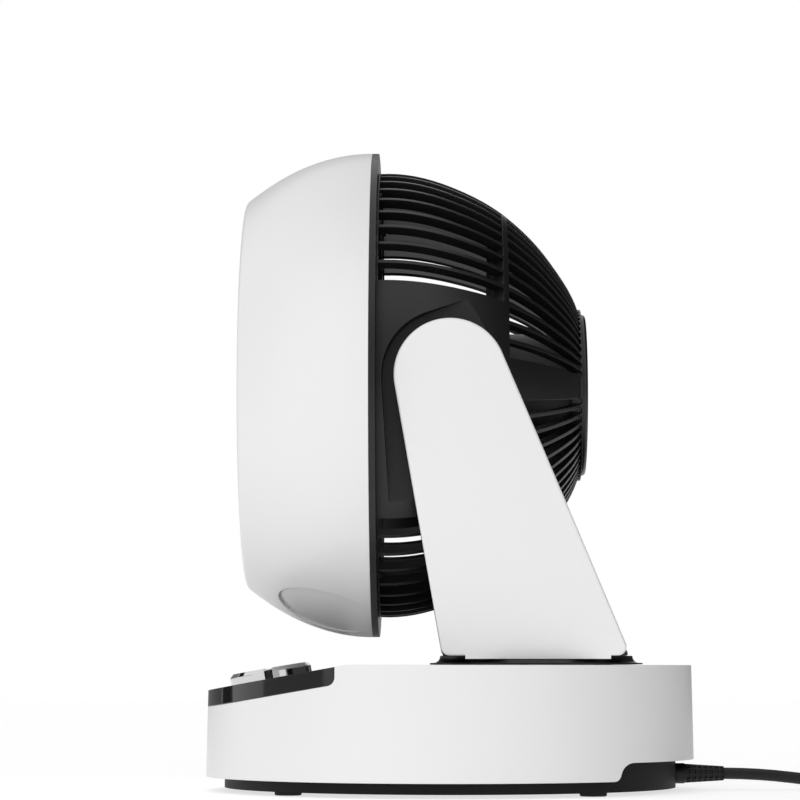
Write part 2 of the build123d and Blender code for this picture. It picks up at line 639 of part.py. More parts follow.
def make_arm_cover():
    """White outer half of the right arm."""
    block = cover_slab(0, COVER_DEPTH) & arm_prism(0, SADDLE_TOP, ARM_CORNER)
    outer = block.faces().sort_by(SortBy.AREA)[-2:].sort_by(Axis.X)[-1]
    rim = [e for e in outer.edges() if e.center().Z > SADDLE_TOP + 1]
    block = fillet(rim, COVER_EDGE)
    hollow = cover_slab(ARM_WALL, COVER_DEPTH + 5)
    hollow = hollow & arm_prism(ARM_WALL, SADDLE_TOP + ARM_WALL, ARM_CORNER - ARM_WALL)
    lip = Pos(0, (LIP_Y[0] + LIP_Y[1]) / 2, SADDLE_TOP - LIP_DEPTH)
    lip = lip * Box(2 * CHASSIS_R, LIP_Y[1] - LIP_Y[0], LIP_DEPTH + 2, align=LOW)
    return block - hollow + (lip & cover_slab(0, ARM_WALL))


def make_arm_frame():
    """Black inner half of the right arm, with the boss for the tilt bush."""
    block = frame_slab(COVER_DEPTH, 0) & arm_prism(FRAME_INSET, SADDLE_TOP, 1.0)
    hollow = frame_slab(COVER_DEPTH - 8, ARM_WALL)
    hollow = hollow & arm_prism(ARM_WALL + FRAME_INSET, SADDLE_TOP + ARM_WALL, 1.0)
    frame = block - hollow + rod_x(BOSS_R, ARM_IN_PIVOT, ARM_IN_PIVOT + BUSH_LEN + 0.5)
    frame = frame - rod_x(BUSH_R, ARM_IN_PIVOT - 5, ARM_IN_PIVOT + 20)
    for y in ARM_SCREW_Y:
        post = rod_z(3.6, SADDLE_TOP, SADDLE_TOP + 12, ARM_SCREW_X, y)
        frame = frame + post - rod_z(SCREW_R, SADDLE_TOP - 1, SADDLE_TOP + 9, ARM_SCREW_X, y)
    return frame


def make_tilt_bush():
    """Plain bush in the right arm's boss."""
    return rod_x(BUSH_R, ARM_IN_PIVOT, ARM_IN_PIVOT + BUSH_LEN) - rod_x(
        TRUNNION_PIN_R + RUN_FIT, ARM_IN_PIVOT - 1, ARM_IN_PIVOT + BUSH_LEN + 1)


def make_tilt_motor():
    """Flat geared motor in the left arm, made on the right and mirrored."""
    x0 = ARM_IN_PIVOT + BUSH_LEN + 0.5
    case = rod_x(TILT_MOTOR_R, x0, x0 + TILT_MOTOR_T)
    return case - rod_x(TIP_R + RUN_FIT, x0 - 1, x0 + TILT_MOTOR_T - 1.5)


def make_arm_screws():
    """Screws through the saddle into the feet of the frames."""
    return Compound([
        Pos(side * ARM_SCREW_X, y, SADDLE_Z + SCREW_SEAT) * Rot(180, 0, 0) * screw(11.0)
        for side in (-1, 1) for y in ARM_SCREW_Y
    ])


# ---------------------------------------------------------------- head shells
def bezel_core(shift_y):
    """The bezel's outer form as one solid, moved along Y."""
    curve = Spline(*BEZEL_PROFILE)
    tip_r, tip_y = RIM_TIP
    first, last = BEZEL_PROFILE[0], BEZEL_PROFILE[-1]
    close = Polyline(last, (tip_r, tip_y), (0, tip_y), (0, first[1]), first)
    return Pos(0, shift_y, 0) * turned_on_fan_axis(make_face([curve, close]))


def make_front_bezel():
    """White front shell: spline flank, rolled rim, lip for the grille, bosses, scoops."""
    outer = Spline(*BEZEL_PROFILE)
    inner_points = moved_inward(BEZEL_PROFILE, BEZEL_WALL)
    inner_points[0] = (inner_points[0][0], BEZEL_BACK_Y)
    inner = Spline(*inner_points)
    tip_r, tip_y = RIM_TIP
    rim = ThreePointArc(BEZEL_PROFILE[-1], (tip_r + 1.9, tip_y + 0.55), (tip_r, tip_y))
    roll = ThreePointArc((tip_r, tip_y), (GRILLE_SEAT_R + 1.0, tip_y + 0.7), (GRILLE_SEAT_R, tip_y + 2.6))
    inner_end = inner_points[-1]
    lip = Polyline(
        (GRILLE_SEAT_R, tip_y + 2.6), (GRILLE_SEAT_R, LIP_BACK_Y),
        (GRILLE_SEAT_R + 2.4, LIP_BACK_Y), (GRILLE_SEAT_R + 2.4, inner_end[1]), inner_end)
    back = Line(BEZEL_PROFILE[0], inner_points[0])
    bezel = turned_on_fan_axis(make_face([outer, rim, roll, lip, inner, back]))
    core = bezel_core(0)
    for deg in HEAD_SCREWS_DEG:
        x, z = polar(HEAD_SCREW_PCR, deg)
        boss = rod_y(4.0, BEZEL_BACK_Y - 50, BEZEL_BACK_Y, x, PIVOT_Z + z) & core
        bezel = bezel + boss - rod_y(SCREW_R, BEZEL_BACK_Y - 12, BEZEL_BACK_Y + 1, x, PIVOT_Z + z)
    floor = bezel_core(SCOOP_SHIFT)
    for side in (-1, 1):
        down = Rot(0, 180 - side * SCOOP_DEG, 0) * Cylinder(SCOOP_R, 400, align=LOW)
        cutter = Pos(0, SCOOP_Y, PIVOT_Z) * down
        bezel = bezel - (cutter - floor)
    return bezel


def make_chassis_ring():
    """Black ring between bezel and rear housing, which shows as a thin trim."""
    front = BEZEL_BACK_Y
    ring = ring_y(CHASSIS_BORE, CHASSIS_R, front, front + CHASSIS_T)
    for deg in HEAD_SCREWS_DEG:
        x, z = polar(HEAD_SCREW_PCR, deg)
        ring = ring - rod_y(SCREW_R + 0.3, front - 1, front + CHASSIS_T + 1, x, PIVOT_Z + z)
    return ring


def make_duct_ring():
    """Tube round the impeller, with a flange on the chassis ring."""
    tube = ring_y(DUCT_R, DUCT_R + DUCT_WALL, *DUCT_Y)
    flange = ring_y(DUCT_R + 1, CHASSIS_BORE + 8, BEZEL_BACK_Y - 2.0, BEZEL_BACK_Y)
    return tube + flange


def pocket(x, grow):
    """The space beside each arm, outside a flat plane at x, grown all round."""
    r = POCKET_R + grow
    end_y, end_z = POCKET_END[0] - grow, POCKET_END[1] - grow
    reach = hypot(end_y, end_z)
    start = atan2(end_z, end_y) - asin(sqrt(1 - (r / reach) ** 2))
    touch = (r * cos(start), r * sin(start))
    top = radians(90 + POCKET_TOP_DEG)
    turn = (r * cos(top), r * sin(top))
    mid = (start % (2 * pi) + top) / 2
    far = (turn[0] + 90 * cos(radians(POCKET_TOP_DEG)), turn[1] + 90 * sin(radians(POCKET_TOP_DEG)))
    edges = [
        Line((end_y, end_z), touch),
        ThreePointArc(touch, (r * cos(mid), r * sin(mid)), turn),
        Polyline(turn, far, (far[0], end_z), (end_y, end_z)),
    ]
    side = extrude((Plane.YZ * make_face(edges)).moved(Location((x, 0, PIVOT_Z))), 60)
    return side + side.mirror(Plane.YZ)


def housing_form(points, front_y, rear_y):
    """A solid turned from the housing's profile, between two planes."""
    first, last = points[0], points[-1]
    curve = Spline(*points[:5])
    dome = Spline(*points[4:])
    corners = [last, (last[0], rear_y), (0, rear_y), (0, front_y), (first[0], front_y)]
    if abs(first[1] - front_y) > 0.001:
        corners.append(first)
    return turned_on_fan_axis(make_face([curve, dome, Polyline(*corners)]))


def slot_cutter(inner, outer, y0, y1, closed_deg):
    """Everything between the ribs of one tier, except its closed sides."""
    ring = Circle(outer) - Circle(inner)
    slabs = [Rot(0, 0, 180 / (RIBS / 2) * i) * Rectangle(2 * outer + 10, RIB_T) for i in range(RIBS // 2)]
    face = ring - slabs
    a, b = closed_deg
    reach = outer * 2
    for side in (-1, 1):
        corners = [polar(reach, a), polar(reach * 1.2, (a + b) / 2), polar(reach, b)]
        wedge = Polyline((0, 0), *[(side * x, z) for x, z in corners], close=True)
        face = face - make_face(wedge)
    plane = Plane(origin=(0, y0, PIVOT_Z), x_dir=(1, 0, 0), z_dir=(0, -1, 0))
    return extrude(plane * face, -(y1 - y0))


def make_rear_housing():
    """Black rear shell: two tiers of ribs, closed sides with a flat pad, motor tube."""
    front_y = BEZEL_BACK_Y + CHASSIS_T
    outer = housing_form(HOUSING_PROFILE, front_y, CAP_Y - CAP_T)
    inner_points = moved_inward(HOUSING_PROFILE, CAGE_DEPTH)
    inner_points = inner_points[:-1] + [(CAP_R - 4, MOTOR_DISC_Y - 1.0)]
    inner = housing_form(inner_points, front_y - 5, MOTOR_DISC_Y)
    shell = (outer - pocket(PAD_X, 0)) - (inner - pocket(PAD_X - PAD_WALL, PAD_WALL))
    shell = shell - slot_cutter(0.633 * CHASSIS_R, CHASSIS_R, *TIER_1, PANEL_1_DEG)
    shell = shell - slot_cutter(CAP_R, 0.787 * CHASSIS_R, *TIER_2, PANEL_2_DEG)
    shell = shell + ring_y(CARRIER_R - CARRIER_WALL, CARRIER_R, MOTOR_Y[1], MOTOR_DISC_Y + 1)
    for deg in HEAD_SCREWS_DEG:
        x, z = polar(HEAD_SCREW_PCR, deg)
        shell = shell - rod_y(SCREW_R + 0.3, front_y - 1, front_y + 10, x, PIVOT_Z + z)
    return shell


def make_rear_cap():
    """Domed cap over the middle of the rear housing."""
    cap = rod_y(CAP_R, CAP_Y - CAP_T, CAP_Y)
    return fillet(cap.edges().sort_by(Axis.Y)[-1], 2.0)


def make_head_screws():
    """Screws from the rear housing's front ring into the bezel's bosses."""
    y = TIER_1[0]
    screws = []
    for deg in HEAD_SCREWS_DEG:
        x, z = polar(HEAD_SCREW_PCR, deg)
        screws.append(Pos(x, y, PIVOT_Z + z) * Rot(-90, 0, 0) * screw(y - BEZEL_BACK_Y + 10))
    return Compound(screws)


def make_trunnion(drive):
    """Tilt pin of the right side; with drive, its end is thin and fits a motor."""
    pin_end = ARM_IN_PIVOT + BUSH_LEN + 0.4
    disc = rod_x(TRUNNION_R, PAD_X, ARM_IN_PIVOT - CONTACT)
    pin = rod_x(TRUNNION_PIN_R, PAD_X, pin_end)
    if drive:
        return disc + pin + rod_x(TIP_R, pin_end - 1, pin_end + TILT_MOTOR_T - 2.0)
    return disc + pin


def make_pin_washer():
    """Washer on the end of the right trunnion."""
    x = ARM_IN_PIVOT + BUSH_LEN + 0.4
    return rod_x(TRUNNION_PIN_R + 2.5, x, x + 1.3)


# ---------------------------------------------------------------- grille and impeller
def make_front_grille():
    """Domed grille with swept vanes, two rings, a hub and an outer ring."""
    outer = GRILLE_SEAT_R - CONTACT
    hub = GRILLE_HUB_R + 2
    face = (Circle(outer) - Circle(outer - 4)) + (Circle(hub) - Circle(GRILLE_BORE_R))
    for r in GRILLE_RINGS:
        face = face + (Circle(r + 0.9) - Circle(r - 0.9))
    a0 = (hub - 3, 0.0)
    half = VANE_SWEEP_DEG / 2
    mid_r = (outer + hub) / 2
    bow = half * 0.72
    def vane(shift):
        return [
            (a0[0], shift),
            (mid_r * cos(radians(bow)) - shift * sin(radians(bow)),
             mid_r * sin(radians(bow)) + shift * cos(radians(bow))),
            ((outer - 2) * cos(radians(VANE_SWEEP_DEG)) - shift * sin(radians(VANE_SWEEP_DEG)),
             (outer - 2) * sin(radians(VANE_SWEEP_DEG)) + shift * cos(radians(VANE_SWEEP_DEG))),
        ]
    low, high = vane(-VANE_T / 2), vane(VANE_T / 2)
    blade = make_face([
        ThreePointArc(*low), Line(low[2], high[2]), ThreePointArc(*high), Line(high[0], low[0]),
    ])
    face = face + [Rot(0, 0, 360 / GRILLE_VANES * i) * blade for i in range(GRILLE_VANES)]
    plane = Plane(origin=(0, GRILLE_TIP_Y - 5, PIVOT_Z), x_dir=(1, 0, 0), z_dir=(0, -1, 0))
    pattern = extrude(plane * face, -30)
    radius = (outer ** 2 + GRILLE_SAG ** 2) / (2 * GRILLE_SAG)
    front = Pos(0, GRILLE_TIP_Y + radius, PIVOT_Z) * Sphere(radius)
    back = Pos(0, GRILLE_TIP_Y + radius + GRILLE_T, PIVOT_Z) * Sphere(radius)
    return (pattern & front) - back


def make_grille_cap():
    """Bare round cap on the middle of the grille."""
    disc = rod_y(GRILLE_HUB_R - 2, GRILLE_TIP_Y - 1.6, GRILLE_TIP_Y)
    disc = fillet(disc.edges().sort_by(Axis.Y)[0], 1.0)
    return disc + rod_y(GRILLE_BORE_R - CONTACT, GRILLE_TIP_Y - 1, GRILLE_TIP_Y + 4)


def blade_section(r, chord, pitch):
    """A thin cambered section, square to the radius, drawn as tangent and Y."""
    camber = chord * 0.09
    def arc(rise, flip):
        ends = [(-chord / 2, rise), (0, camber + rise), (chord / 2, rise)]
        return ThreePointArc(*(ends[::-1] if flip else ends))
    low, high = -BLADE_T / 2, BLADE_T / 2
    face = make_face([
        arc(low, False), Line((chord / 2, low), (chord / 2, high)),
        arc(high, True), Line((-chord / 2, high), (-chord / 2, low)),
    ])
    mid_y = (IMPELLER_Y[0] + IMPELLER_Y[1]) / 2
    plane = Plane(origin=(r, mid_y, 0), x_dir=(0, 0, 1), z_dir=(1, 0, 0))
    return plane * Rot(0, 0, pitch) * face


def make_impeller():
    """Five swept blades on a hollow hub."""
    y0, y1 = IMPELLER_Y
    hub = rod_y(HUB_R, y0, y1)
    hub = fillet(hub.edges().sort_by(Axis.Y)[0], 8.0)
    hub = hub - rod_y(HUB_R - HUB_WALL, y0 + 6, y1 + 1)
    hub = hub + rod_y(9.0, y0 + 3, y1 - 4)
    blade = loft([blade_section(*s) for s in BLADE_SECTIONS])
    blade = Pos(0, 0, PIVOT_Z) * blade
    blade = blade & ring_y(HUB_R - HUB_WALL / 2, IMPELLER_R, y0 - 20, y1 + 20)
    turn = Pos(0, 0, PIVOT_Z)
    back = Pos(0, 0, -PIVOT_Z)
    for i in range(BLADES):
        hub = hub + turn * Rot(0, 360 / BLADES * i, 0) * back * blade
    return hub - rod_y(SHAFT_R, y0 - 10, y1 + 10)


def make_impeller_nut():
    """Domed nut that holds the impeller on the shaft."""
    y = IMPELLER_Y[0]
    nut = rod_y(11.0, y - 9, y)
    nut = fillet(nut.edges().sort_by(Axis.Y)[0], 4.0)
    return nut - rod_y(SHAFT_R, y - 5, y + 1)


def make_motor_shaft():
    """Steel shaft through the motor, carrying the impeller."""
    return rod_y(SHAFT_R, IMPELLER_Y[0] - 5, MOTOR_Y[1] - 4)


def make_motor_rotor():
    """Rotor on the shaft inside the stator."""
    return ring_y(SHAFT_R, ROTOR_R, STATOR_Y[0], STATOR_Y[1])


def make_stator_core():
    """Laminated ring between the motor's two shells."""
    return ring_y(ROTOR_R + ROTOR_GAP, MOTOR_R, *STATOR_Y)


def make_stator_windings():
    """Copper ring on each side of the stator."""
    front = ring_y(ROTOR_R + 3, MOTOR_R - 6, STATOR_Y[0] - 8, STATOR_Y[0])
    rear = ring_y(ROTOR_R + 3, MOTOR_R - 6, STATOR_Y[1], STATOR_Y[1] + 8)
    return Compound([front, rear])


def motor_shell(y_open, y_closed):
    """A cup from the stator to a closed end with a bearing seat."""
    lo, hi = min(y_open, y_closed), max(y_open, y_closed)
    way = 1.0 if y_closed > y_open else -1.0
    end = y_closed - way * 3.0
    cup = rod_y(MOTOR_R, lo, hi)
    rims = cup.edges().filter_by(GeomType.CIRCLE)
    cup = fillet(rims.sort_by_distance((0, y_closed, PIVOT_Z))[0], 3.0)
    cup = cup - rod_y(MOTOR_R - 3, *sorted((y_open - way * 3, end)))
    cup = cup + rod_y(BEARING_R + 2, *sorted((y_closed - way * 1.5, end - way * BEARING_T)))
    return cup - rod_y(BEARING_R, *sorted((end, end - way * 12)))


def make_motor_front_shell():
    """Front half of the motor's case, with the shaft's way out."""
    shell = motor_shell(STATOR_Y[0], MOTOR_Y[0])
    return shell - rod_y(SHAFT_R + 0.6, MOTOR_Y[0] - 5, MOTOR_Y[0] + 8)


def make_motor_rear_shell():
    """Rear half of the motor's case, seated on the housing's tube."""
    return motor_shell(STATOR_Y[1], MOTOR_Y[1])


def make_motor_bearings():
    """Front and rear shaft bearings."""
    a = MOTOR_Y[0] + 3
    b = MOTOR_Y[1] - 3
    return Compound([
        ring_y(SHAFT_R + RUN_FIT, BEARING_R, a, a + BEARING_T),
        ring_y(SHAFT_R + RUN_FIT, BEARING_R, b - BEARING_T, b),
    ])


# ---------------------------------------------------------------- mains cord
def make_strain_relief():
    """Ribbed, tapered sleeve where the cord leaves the base."""
    inside = PLATE_R - PLATE_WALL
    root = PLATE_R + 5.5
    relief = rod_y(RELIEF_FLANGE_R, inside - 2 - CONTACT, inside - CONTACT, 0, CORD_Z)
    relief = relief + rod_y(RELIEF_NECK_R, inside - 1, PLATE_R + 1, 0, CORD_Z)
    relief = relief + rod_y(RELIEF_ROOT_R, PLATE_R, root, 0, CORD_Z)
    span = RELIEF_END_Y - root
    core = Plane(origin=(0, root, CORD_Z), x_dir=(1, 0, 0), z_dir=(0, 1, 0))
    relief = relief + core * Cone(RELIEF_ROOT_R - 1.6, RELIEF_TIP_R - 0.5, span, align=LOW)
    count = 7
    for i in range(count):
        y = root + (i + 0.45) * span / count
        r = RELIEF_ROOT_R - 0.4 - (RELIEF_ROOT_R - 0.4 - RELIEF_TIP_R) * i / (count - 1)
        relief = relief + rod_y(r, y, y + 0.62 * span / count, 0, CORD_Z)
    return relief & Pos(0, 0, CORD_Z) * Box(30, 2 * RELIEF_END_Y, 30)


def coil_stations():
    """Ends of the coil's half turns, as distances from its middle along X, with heights."""
    z1 = CORD_R + COIL_LIFT
    z2 = z1 + COIL_PITCH
    step = COIL_PITCH / 2
    lower = [COIL_R - step * i for i in range(HALF_TURNS_LOWER + 1)]
    first = lower[-1] - step
    upper = [first] + [lower[-1] + step * i for i in range(1, HALF_TURNS_UPPER + 1)]
    radii = lower + upper
    heights = [z1] * len(lower) + [z2] * len(upper)
    return [((-1) ** i * r, z) for i, (r, z) in enumerate(zip(radii, heights))]


def coil_middle():
    """Middle of the coil on the floor."""
    return -COIL_R, COIL_Y


def coil_path():
    """The coil's line: straight end, half turns with one climb, straight end."""
    cx, cy = coil_middle()
    end = 2 * CORD_R
    stations = coil_stations()
    x0, z0 = stations[0]
    edges = [Line((cx + x0, cy - end, z0), (cx + x0, cy, z0))]
    for i in range(len(stations) - 1):
        (xa, za), (xb, zb) = stations[i], stations[i + 1]
        along = 1 if i % 2 == 0 else -1
        start, stop = Vector(cx + xa, cy, za), Vector(cx + xb, cy, zb)
        middle = (start + stop) / 2 + Vector(0, along * (stop - start).length / 2, 0)
        edges.append(ThreePointArc(start, middle, stop))
    xn, zn = stations[-1]
    along = 1 if (len(stations) - 1) % 2 == 0 else -1
    edges.append(Line((cx + xn, cy, zn), (cx + xn, cy + along * end, zn)))
    return edges


def swept_tube(path):
    """A round tube of the cord's radius along a wire."""
    start = path @ 0
    plane = Plane(origin=start, z_dir=path % 0)
    return sweep(plane * Circle(CORD_R), path=path)


def make_cord_coil():
    """The put-away length, wound in two layers."""
    path = Wire(coil_path())
    tube = swept_tube(path)
    share = tube.volume / (pi * CORD_R ** 2 * path.length)
    print("coil length", round(path.length, 1), "volume share", round(share, 4))
    print("least gap between turns", round(coil_gap(), 2))
    return tube


def coil_gap():
    """Least distance between the coil's own turns, measured on points."""
    points = []
    run = 0.0
    for edge in coil_path():
        count = max(2, int(edge.length / 3))
        for i in range(count):
            p = edge @ (i / count)
            points.append((p.X, p.Y, p.Z, run + edge.length * i / count))
        run += edge.length
    least = 1e9
    for i, a in enumerate(points):
        for b in points[i + 1:]:
            if abs(b[3] - a[3]) > 12 * CORD_R:
                least = min(least, sqrt((a[0] - b[0]) ** 2 + (a[1] - b[1]) ** 2 + (a[2] - b[2]) ** 2))
    return least - 2 * CORD_R


def free_tube(points, name):
    """A tube of straight runs and tangent arcs along a hand-laid route."""
    vectors = [Vector(*p) for p in points]
    radii = []
    for a, b, c in zip(vectors, vectors[1:], vectors[2:]):
        turn = radians((b - a).get_angle(c - b))
        radii.append(0.45 * min((b - a).length, (c - b).length) / tan(turn / 2))
    path = FilletPolyline(*vectors, radius=radii)
    path = Wire(path.edges())
    tube = swept_tube(path)
    share = tube.volume / (pi * CORD_R ** 2 * path.length)
    print(name, "length", round(path.length, 1), "volume share", round(share, 4))
    print(name, "radii", [round(r, 1) for r in radii])
    return tube


def lead_route():
    """Route of the cord from the strain relief to the coil."""
    return [
        (0.0, RELIEF_END_Y, CORD_Z),
        (0.0, RELIEF_END_Y + 21.0, CORD_Z),
        (1.2, COIL_Y - 53.0, 5.2),
        (0.0, COIL_Y - 28.0, CORD_R + COIL_LIFT),
        (0.0, COIL_Y - 2 * CORD_R, CORD_R + COIL_LIFT),
    ]


def tail_start():
    """Where the cord leaves the coil's upper layer."""
    x, z = coil_stations()[-1]
    return coil_middle()[0] + x, COIL_Y + 2 * CORD_R, z


def tail_route():
    """Route of the cord from the coil round to the plug."""
    x, y, z = tail_start()
    plug_z = PLUG_T / 2
    return [
        (x, y, z),
        (x, COIL_Y + 41.0, z),
        (29.5, COIL_Y + 66.5, 7.6),
        (65.5, COIL_Y + 66.5, 4.6),
        (PLUG_X, COIL_Y + 41.0, plug_z),
        (PLUG_X, PLUG_BACK_Y, plug_z),
    ]


def make_plug_body():
    """Flat two-pin plug, lying on its wide face, pins towards the base."""
    z = PLUG_T / 2
    neck_y = PLUG_BACK_Y - 12
    root = Plane(origin=(PLUG_X, PLUG_BACK_Y, z), x_dir=(1, 0, 0), z_dir=(0, -1, 0))
    neck = root * Cone(CORD_R + 0.8, CORD_R + 2.2, 12.5, align=LOW)
    back = Plane(origin=(PLUG_X, neck_y, z), x_dir=(1, 0, 0), z_dir=(0, -1, 0))
    near = back * RectangleRounded(17, PLUG_T - 1.0, 5.5)
    wide = back.offset(PLUG_LEN * 0.45) * RectangleRounded(PLUG_W, PLUG_T, 6.0)
    end = back.offset(PLUG_LEN) * RectangleRounded(PLUG_W, PLUG_T, 6.0)
    body = loft([near, wide], ruled=True) + loft([wide, end], ruled=True)
    body = body + neck
    face_y = neck_y - PLUG_LEN
    for side in (-1, 1):
        body = body - rod_y(PIN_R, face_y - 1, face_y + 8, PLUG_X + side * PIN_SPACING / 2, z)
    return body


def make_plug_pins():
    """The plug's two round pins."""
    face_y = PLUG_BACK_Y - 12 - PLUG_LEN
    pins = []
    for side in (-1, 1):
        pin = rod_y(PIN_R, face_y - PIN_LEN, face_y + 8, PLUG_X + side * PIN_SPACING / 2, PLUG_T / 2)
        pins.append(chamfer(pin.edges().sort_by(Axis.Y)[0], 0.7))
    return Compound(pins)


def make_cord_tie():
    """Flat band round the coil's turns."""
    radii = [abs(x) for x, _ in coil_stations()[1::2]]
    low_x, high_x = min(radii) - CORD_R - CONTACT, max(radii) + CORD_R + CONTACT
    top = CORD_R + COIL_LIFT + COIL_PITCH + CORD_R + CONTACT
    bottom = TIE_T + 0.1
    outer = Box(high_x - low_x + 2 * TIE_T, TIE_W, top - bottom + 2 * TIE_T, align=LOW)
    hole = Pos(0, 0, TIE_T) * Box(high_x - low_x, TIE_W + 2, top - bottom, align=LOW)
    x = coil_middle()[0] - (low_x + high_x) / 2
    return Pos(x, COIL_Y, bottom - TIE_T) * (outer - hole)


# ---------------------------------------------------------------- all pieces
def all_pieces():
    """Every node by name."""
    cover, frame = make_arm_cover(), make_arm_frame()
    pieces = {
        "base_shell": make_base_shell(),
        "base_plate": make_base_plate(),
        "rubber_feet": make_rubber_feet(),
        "base_screws": make_base_screws(),
        "control_panel": make_control_panel(),
        "key_frame": make_key_frame(),
        "power_button": make_power_button(),
        "control_board": make_control_board(),
        "tact_switches": make_tact_switches(),
        "power_board": make_power_board(),
        "board_parts": make_board_parts(),
        "turntable_bearing": make_turntable_bearing(),
        "pan_motor": make_pan_motor(),
        "pan_shaft": make_pan_shaft(),
        "turntable_retainer": make_turntable_retainer(),
        "yoke_saddle": make_yoke_saddle(),
        "arm_cover_right": cover,
        "arm_cover_left": cover.mirror(Plane.YZ),
        "arm_frame_right": frame,
        "arm_frame_left": frame.mirror(Plane.YZ),
        "tilt_bush_right": make_tilt_bush(),
        "tilt_bush_left": make_tilt_bush().mirror(Plane.YZ),
        "tilt_motor": make_tilt_motor().mirror(Plane.YZ),
        "arm_screws": make_arm_screws(),
        "front_bezel": make_front_bezel(),
        "chassis_ring": make_chassis_ring(),
        "duct_ring": make_duct_ring(),
        "rear_housing": make_rear_housing(),
        "rear_cap": make_rear_cap(),
        "head_screws": make_head_screws(),
        "trunnion_right": make_trunnion(False),
        "trunnion_left": make_trunnion(True).mirror(Plane.YZ),
        "pin_washer": make_pin_washer(),
        "front_grille": make_front_grille(),
        "grille_cap": make_grille_cap(),
        "impeller": make_impeller(),
        "impeller_nut": make_impeller_nut(),
        "motor_shaft": make_motor_shaft(),
        "motor_rotor": make_motor_rotor(),
        "stator_core": make_stator_core(),
        "stator_windings": make_stator_windings(),
        "motor_front_shell": make_motor_front_shell(),
        "motor_rear_shell": make_motor_rear_shell(),
        "motor_bearings": make_motor_bearings(),
        "strain_relief": make_strain_relief(),
        "cord_lead": free_tube(lead_route(), "lead"),
        "cord_coil": make_cord_coil(),
        "cord_tail": free_tube(tail_route(), "tail"),
        "cord_tie": make_cord_tie(),
        "plug_body": make_plug_body(),
        "plug_pins": make_plug_pins(),
    }
    for name, (_, _, deg) in key_centres().items():
        pieces["key_" + name] = make_key(deg)
    return pieces


if __name__ == "__main__":
    os.makedirs("parts", exist_ok=True)
    for node, piece in all_pieces().items():
        export_step(piece, f"parts/{node}.step")
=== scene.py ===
"""Dressed model of a table air circulator: round head, turning yoke, round base, cord.

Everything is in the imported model's frame: the floor is Z 0, the fan blows towards -Y and
the tilt axis runs along X. Sizes in the classes are in millimetres unless a comment says
otherwise, and they become metres where a mesh is made. Each sub-assembly is a class that
holds its sizes, builds its meshes and dresses them.
"""

import logging
import math
from dataclasses import dataclass, field
from enum import Enum

import bmesh
import bpy
from mathutils import Matrix, Vector


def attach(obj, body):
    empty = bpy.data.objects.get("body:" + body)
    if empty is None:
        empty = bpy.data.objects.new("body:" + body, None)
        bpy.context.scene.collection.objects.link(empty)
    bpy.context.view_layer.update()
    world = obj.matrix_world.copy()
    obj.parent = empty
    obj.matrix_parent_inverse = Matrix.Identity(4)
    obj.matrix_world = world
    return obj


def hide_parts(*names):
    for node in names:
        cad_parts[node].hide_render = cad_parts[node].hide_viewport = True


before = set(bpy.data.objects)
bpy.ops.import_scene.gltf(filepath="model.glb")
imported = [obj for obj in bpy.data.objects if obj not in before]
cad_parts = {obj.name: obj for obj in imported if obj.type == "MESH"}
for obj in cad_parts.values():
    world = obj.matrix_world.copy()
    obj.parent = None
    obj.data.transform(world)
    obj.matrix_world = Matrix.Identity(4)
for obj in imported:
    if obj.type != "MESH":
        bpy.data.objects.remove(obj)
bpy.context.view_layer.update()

Point = tuple[float, float, float]
Pieces = list[bpy.types.Object]

LOG = logging.getLogger("fan")

MM = 0.001
MICRON = 1e-6
MERGE_MM = 0.005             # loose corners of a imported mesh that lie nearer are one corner
SEAM_MM = 0.002              # the same along a spun shape's seam and at its poles
SMOOTH_DEG = 28.0            # an edge that turns further than this stays sharp
EDGE_SAMPLES = 6             # rays that find a rounded edge's normal
BRICK_ROW = 0.25             # height of a brick texture's row at scale 1
WAVE_PERIOD = 0.318309       # spacing of a wave texture's bands at scale 1, to about 1%
MIX_A, MIX_B, MIX_OUT = 6, 7, 2   # a Mix node's colour sockets, whose names aren't unique
WHITE = (1.0, 1.0, 1.0, 1.0)


class Body(Enum):
    """The moving groups that this script's own pieces ride on."""

    BASE = "base"
    HEAD = "head"


# ------------------------------------------------------------------ colours and nodes
def linear(hex_colour: str) -> tuple[float, float, float, float]:
    """Turn an sRGB hex colour into linear RGBA.

    Args:
        hex_colour: six hex digits after a hash.

    Returns:
        Four floats, alpha 1.
    """
    parts = [int(hex_colour[i:i + 2], 16) / 255 for i in (1, 3, 5)]
    return (*[p / 12.92 if p <= 0.04045 else ((p + 0.055) / 1.055) ** 2.4 for p in parts], 1.0)


def per_mm(size_mm: float) -> float:
    """Return a texture scale whose features are size_mm across."""
    return 1.0 / (size_mm * MM)


def add_node(tree: bpy.types.NodeTree, kind: str, inputs: dict[str | int, object] | None = None,
             **settings: object) -> bpy.types.Node:
    """Add a node with its settings, values and links.

    Args:
        tree: the node tree that gets the node.
        kind: the node's type name.
        inputs: socket name or index to a value, or to an output socket to link.
        settings: attributes of the node.

    Returns:
        The new node.
    """
    node = tree.nodes.new(kind)
    for name, value in settings.items():
        setattr(node, name, value)
    for key, value in (inputs or {}).items():
        if isinstance(value, bpy.types.NodeSocket):
            tree.links.new(value, node.inputs[key])
        else:
            node.inputs[key].default_value = value
    return node


def new_material(name: str) -> bpy.types.Material:
    """Make a material with an empty node tree.

    Args:
        name: the material's name.

    Returns:
        The new material.
    """
    material = bpy.data.materials.new(name)
    material.use_nodes = True
    material.node_tree.nodes.clear()
    return material


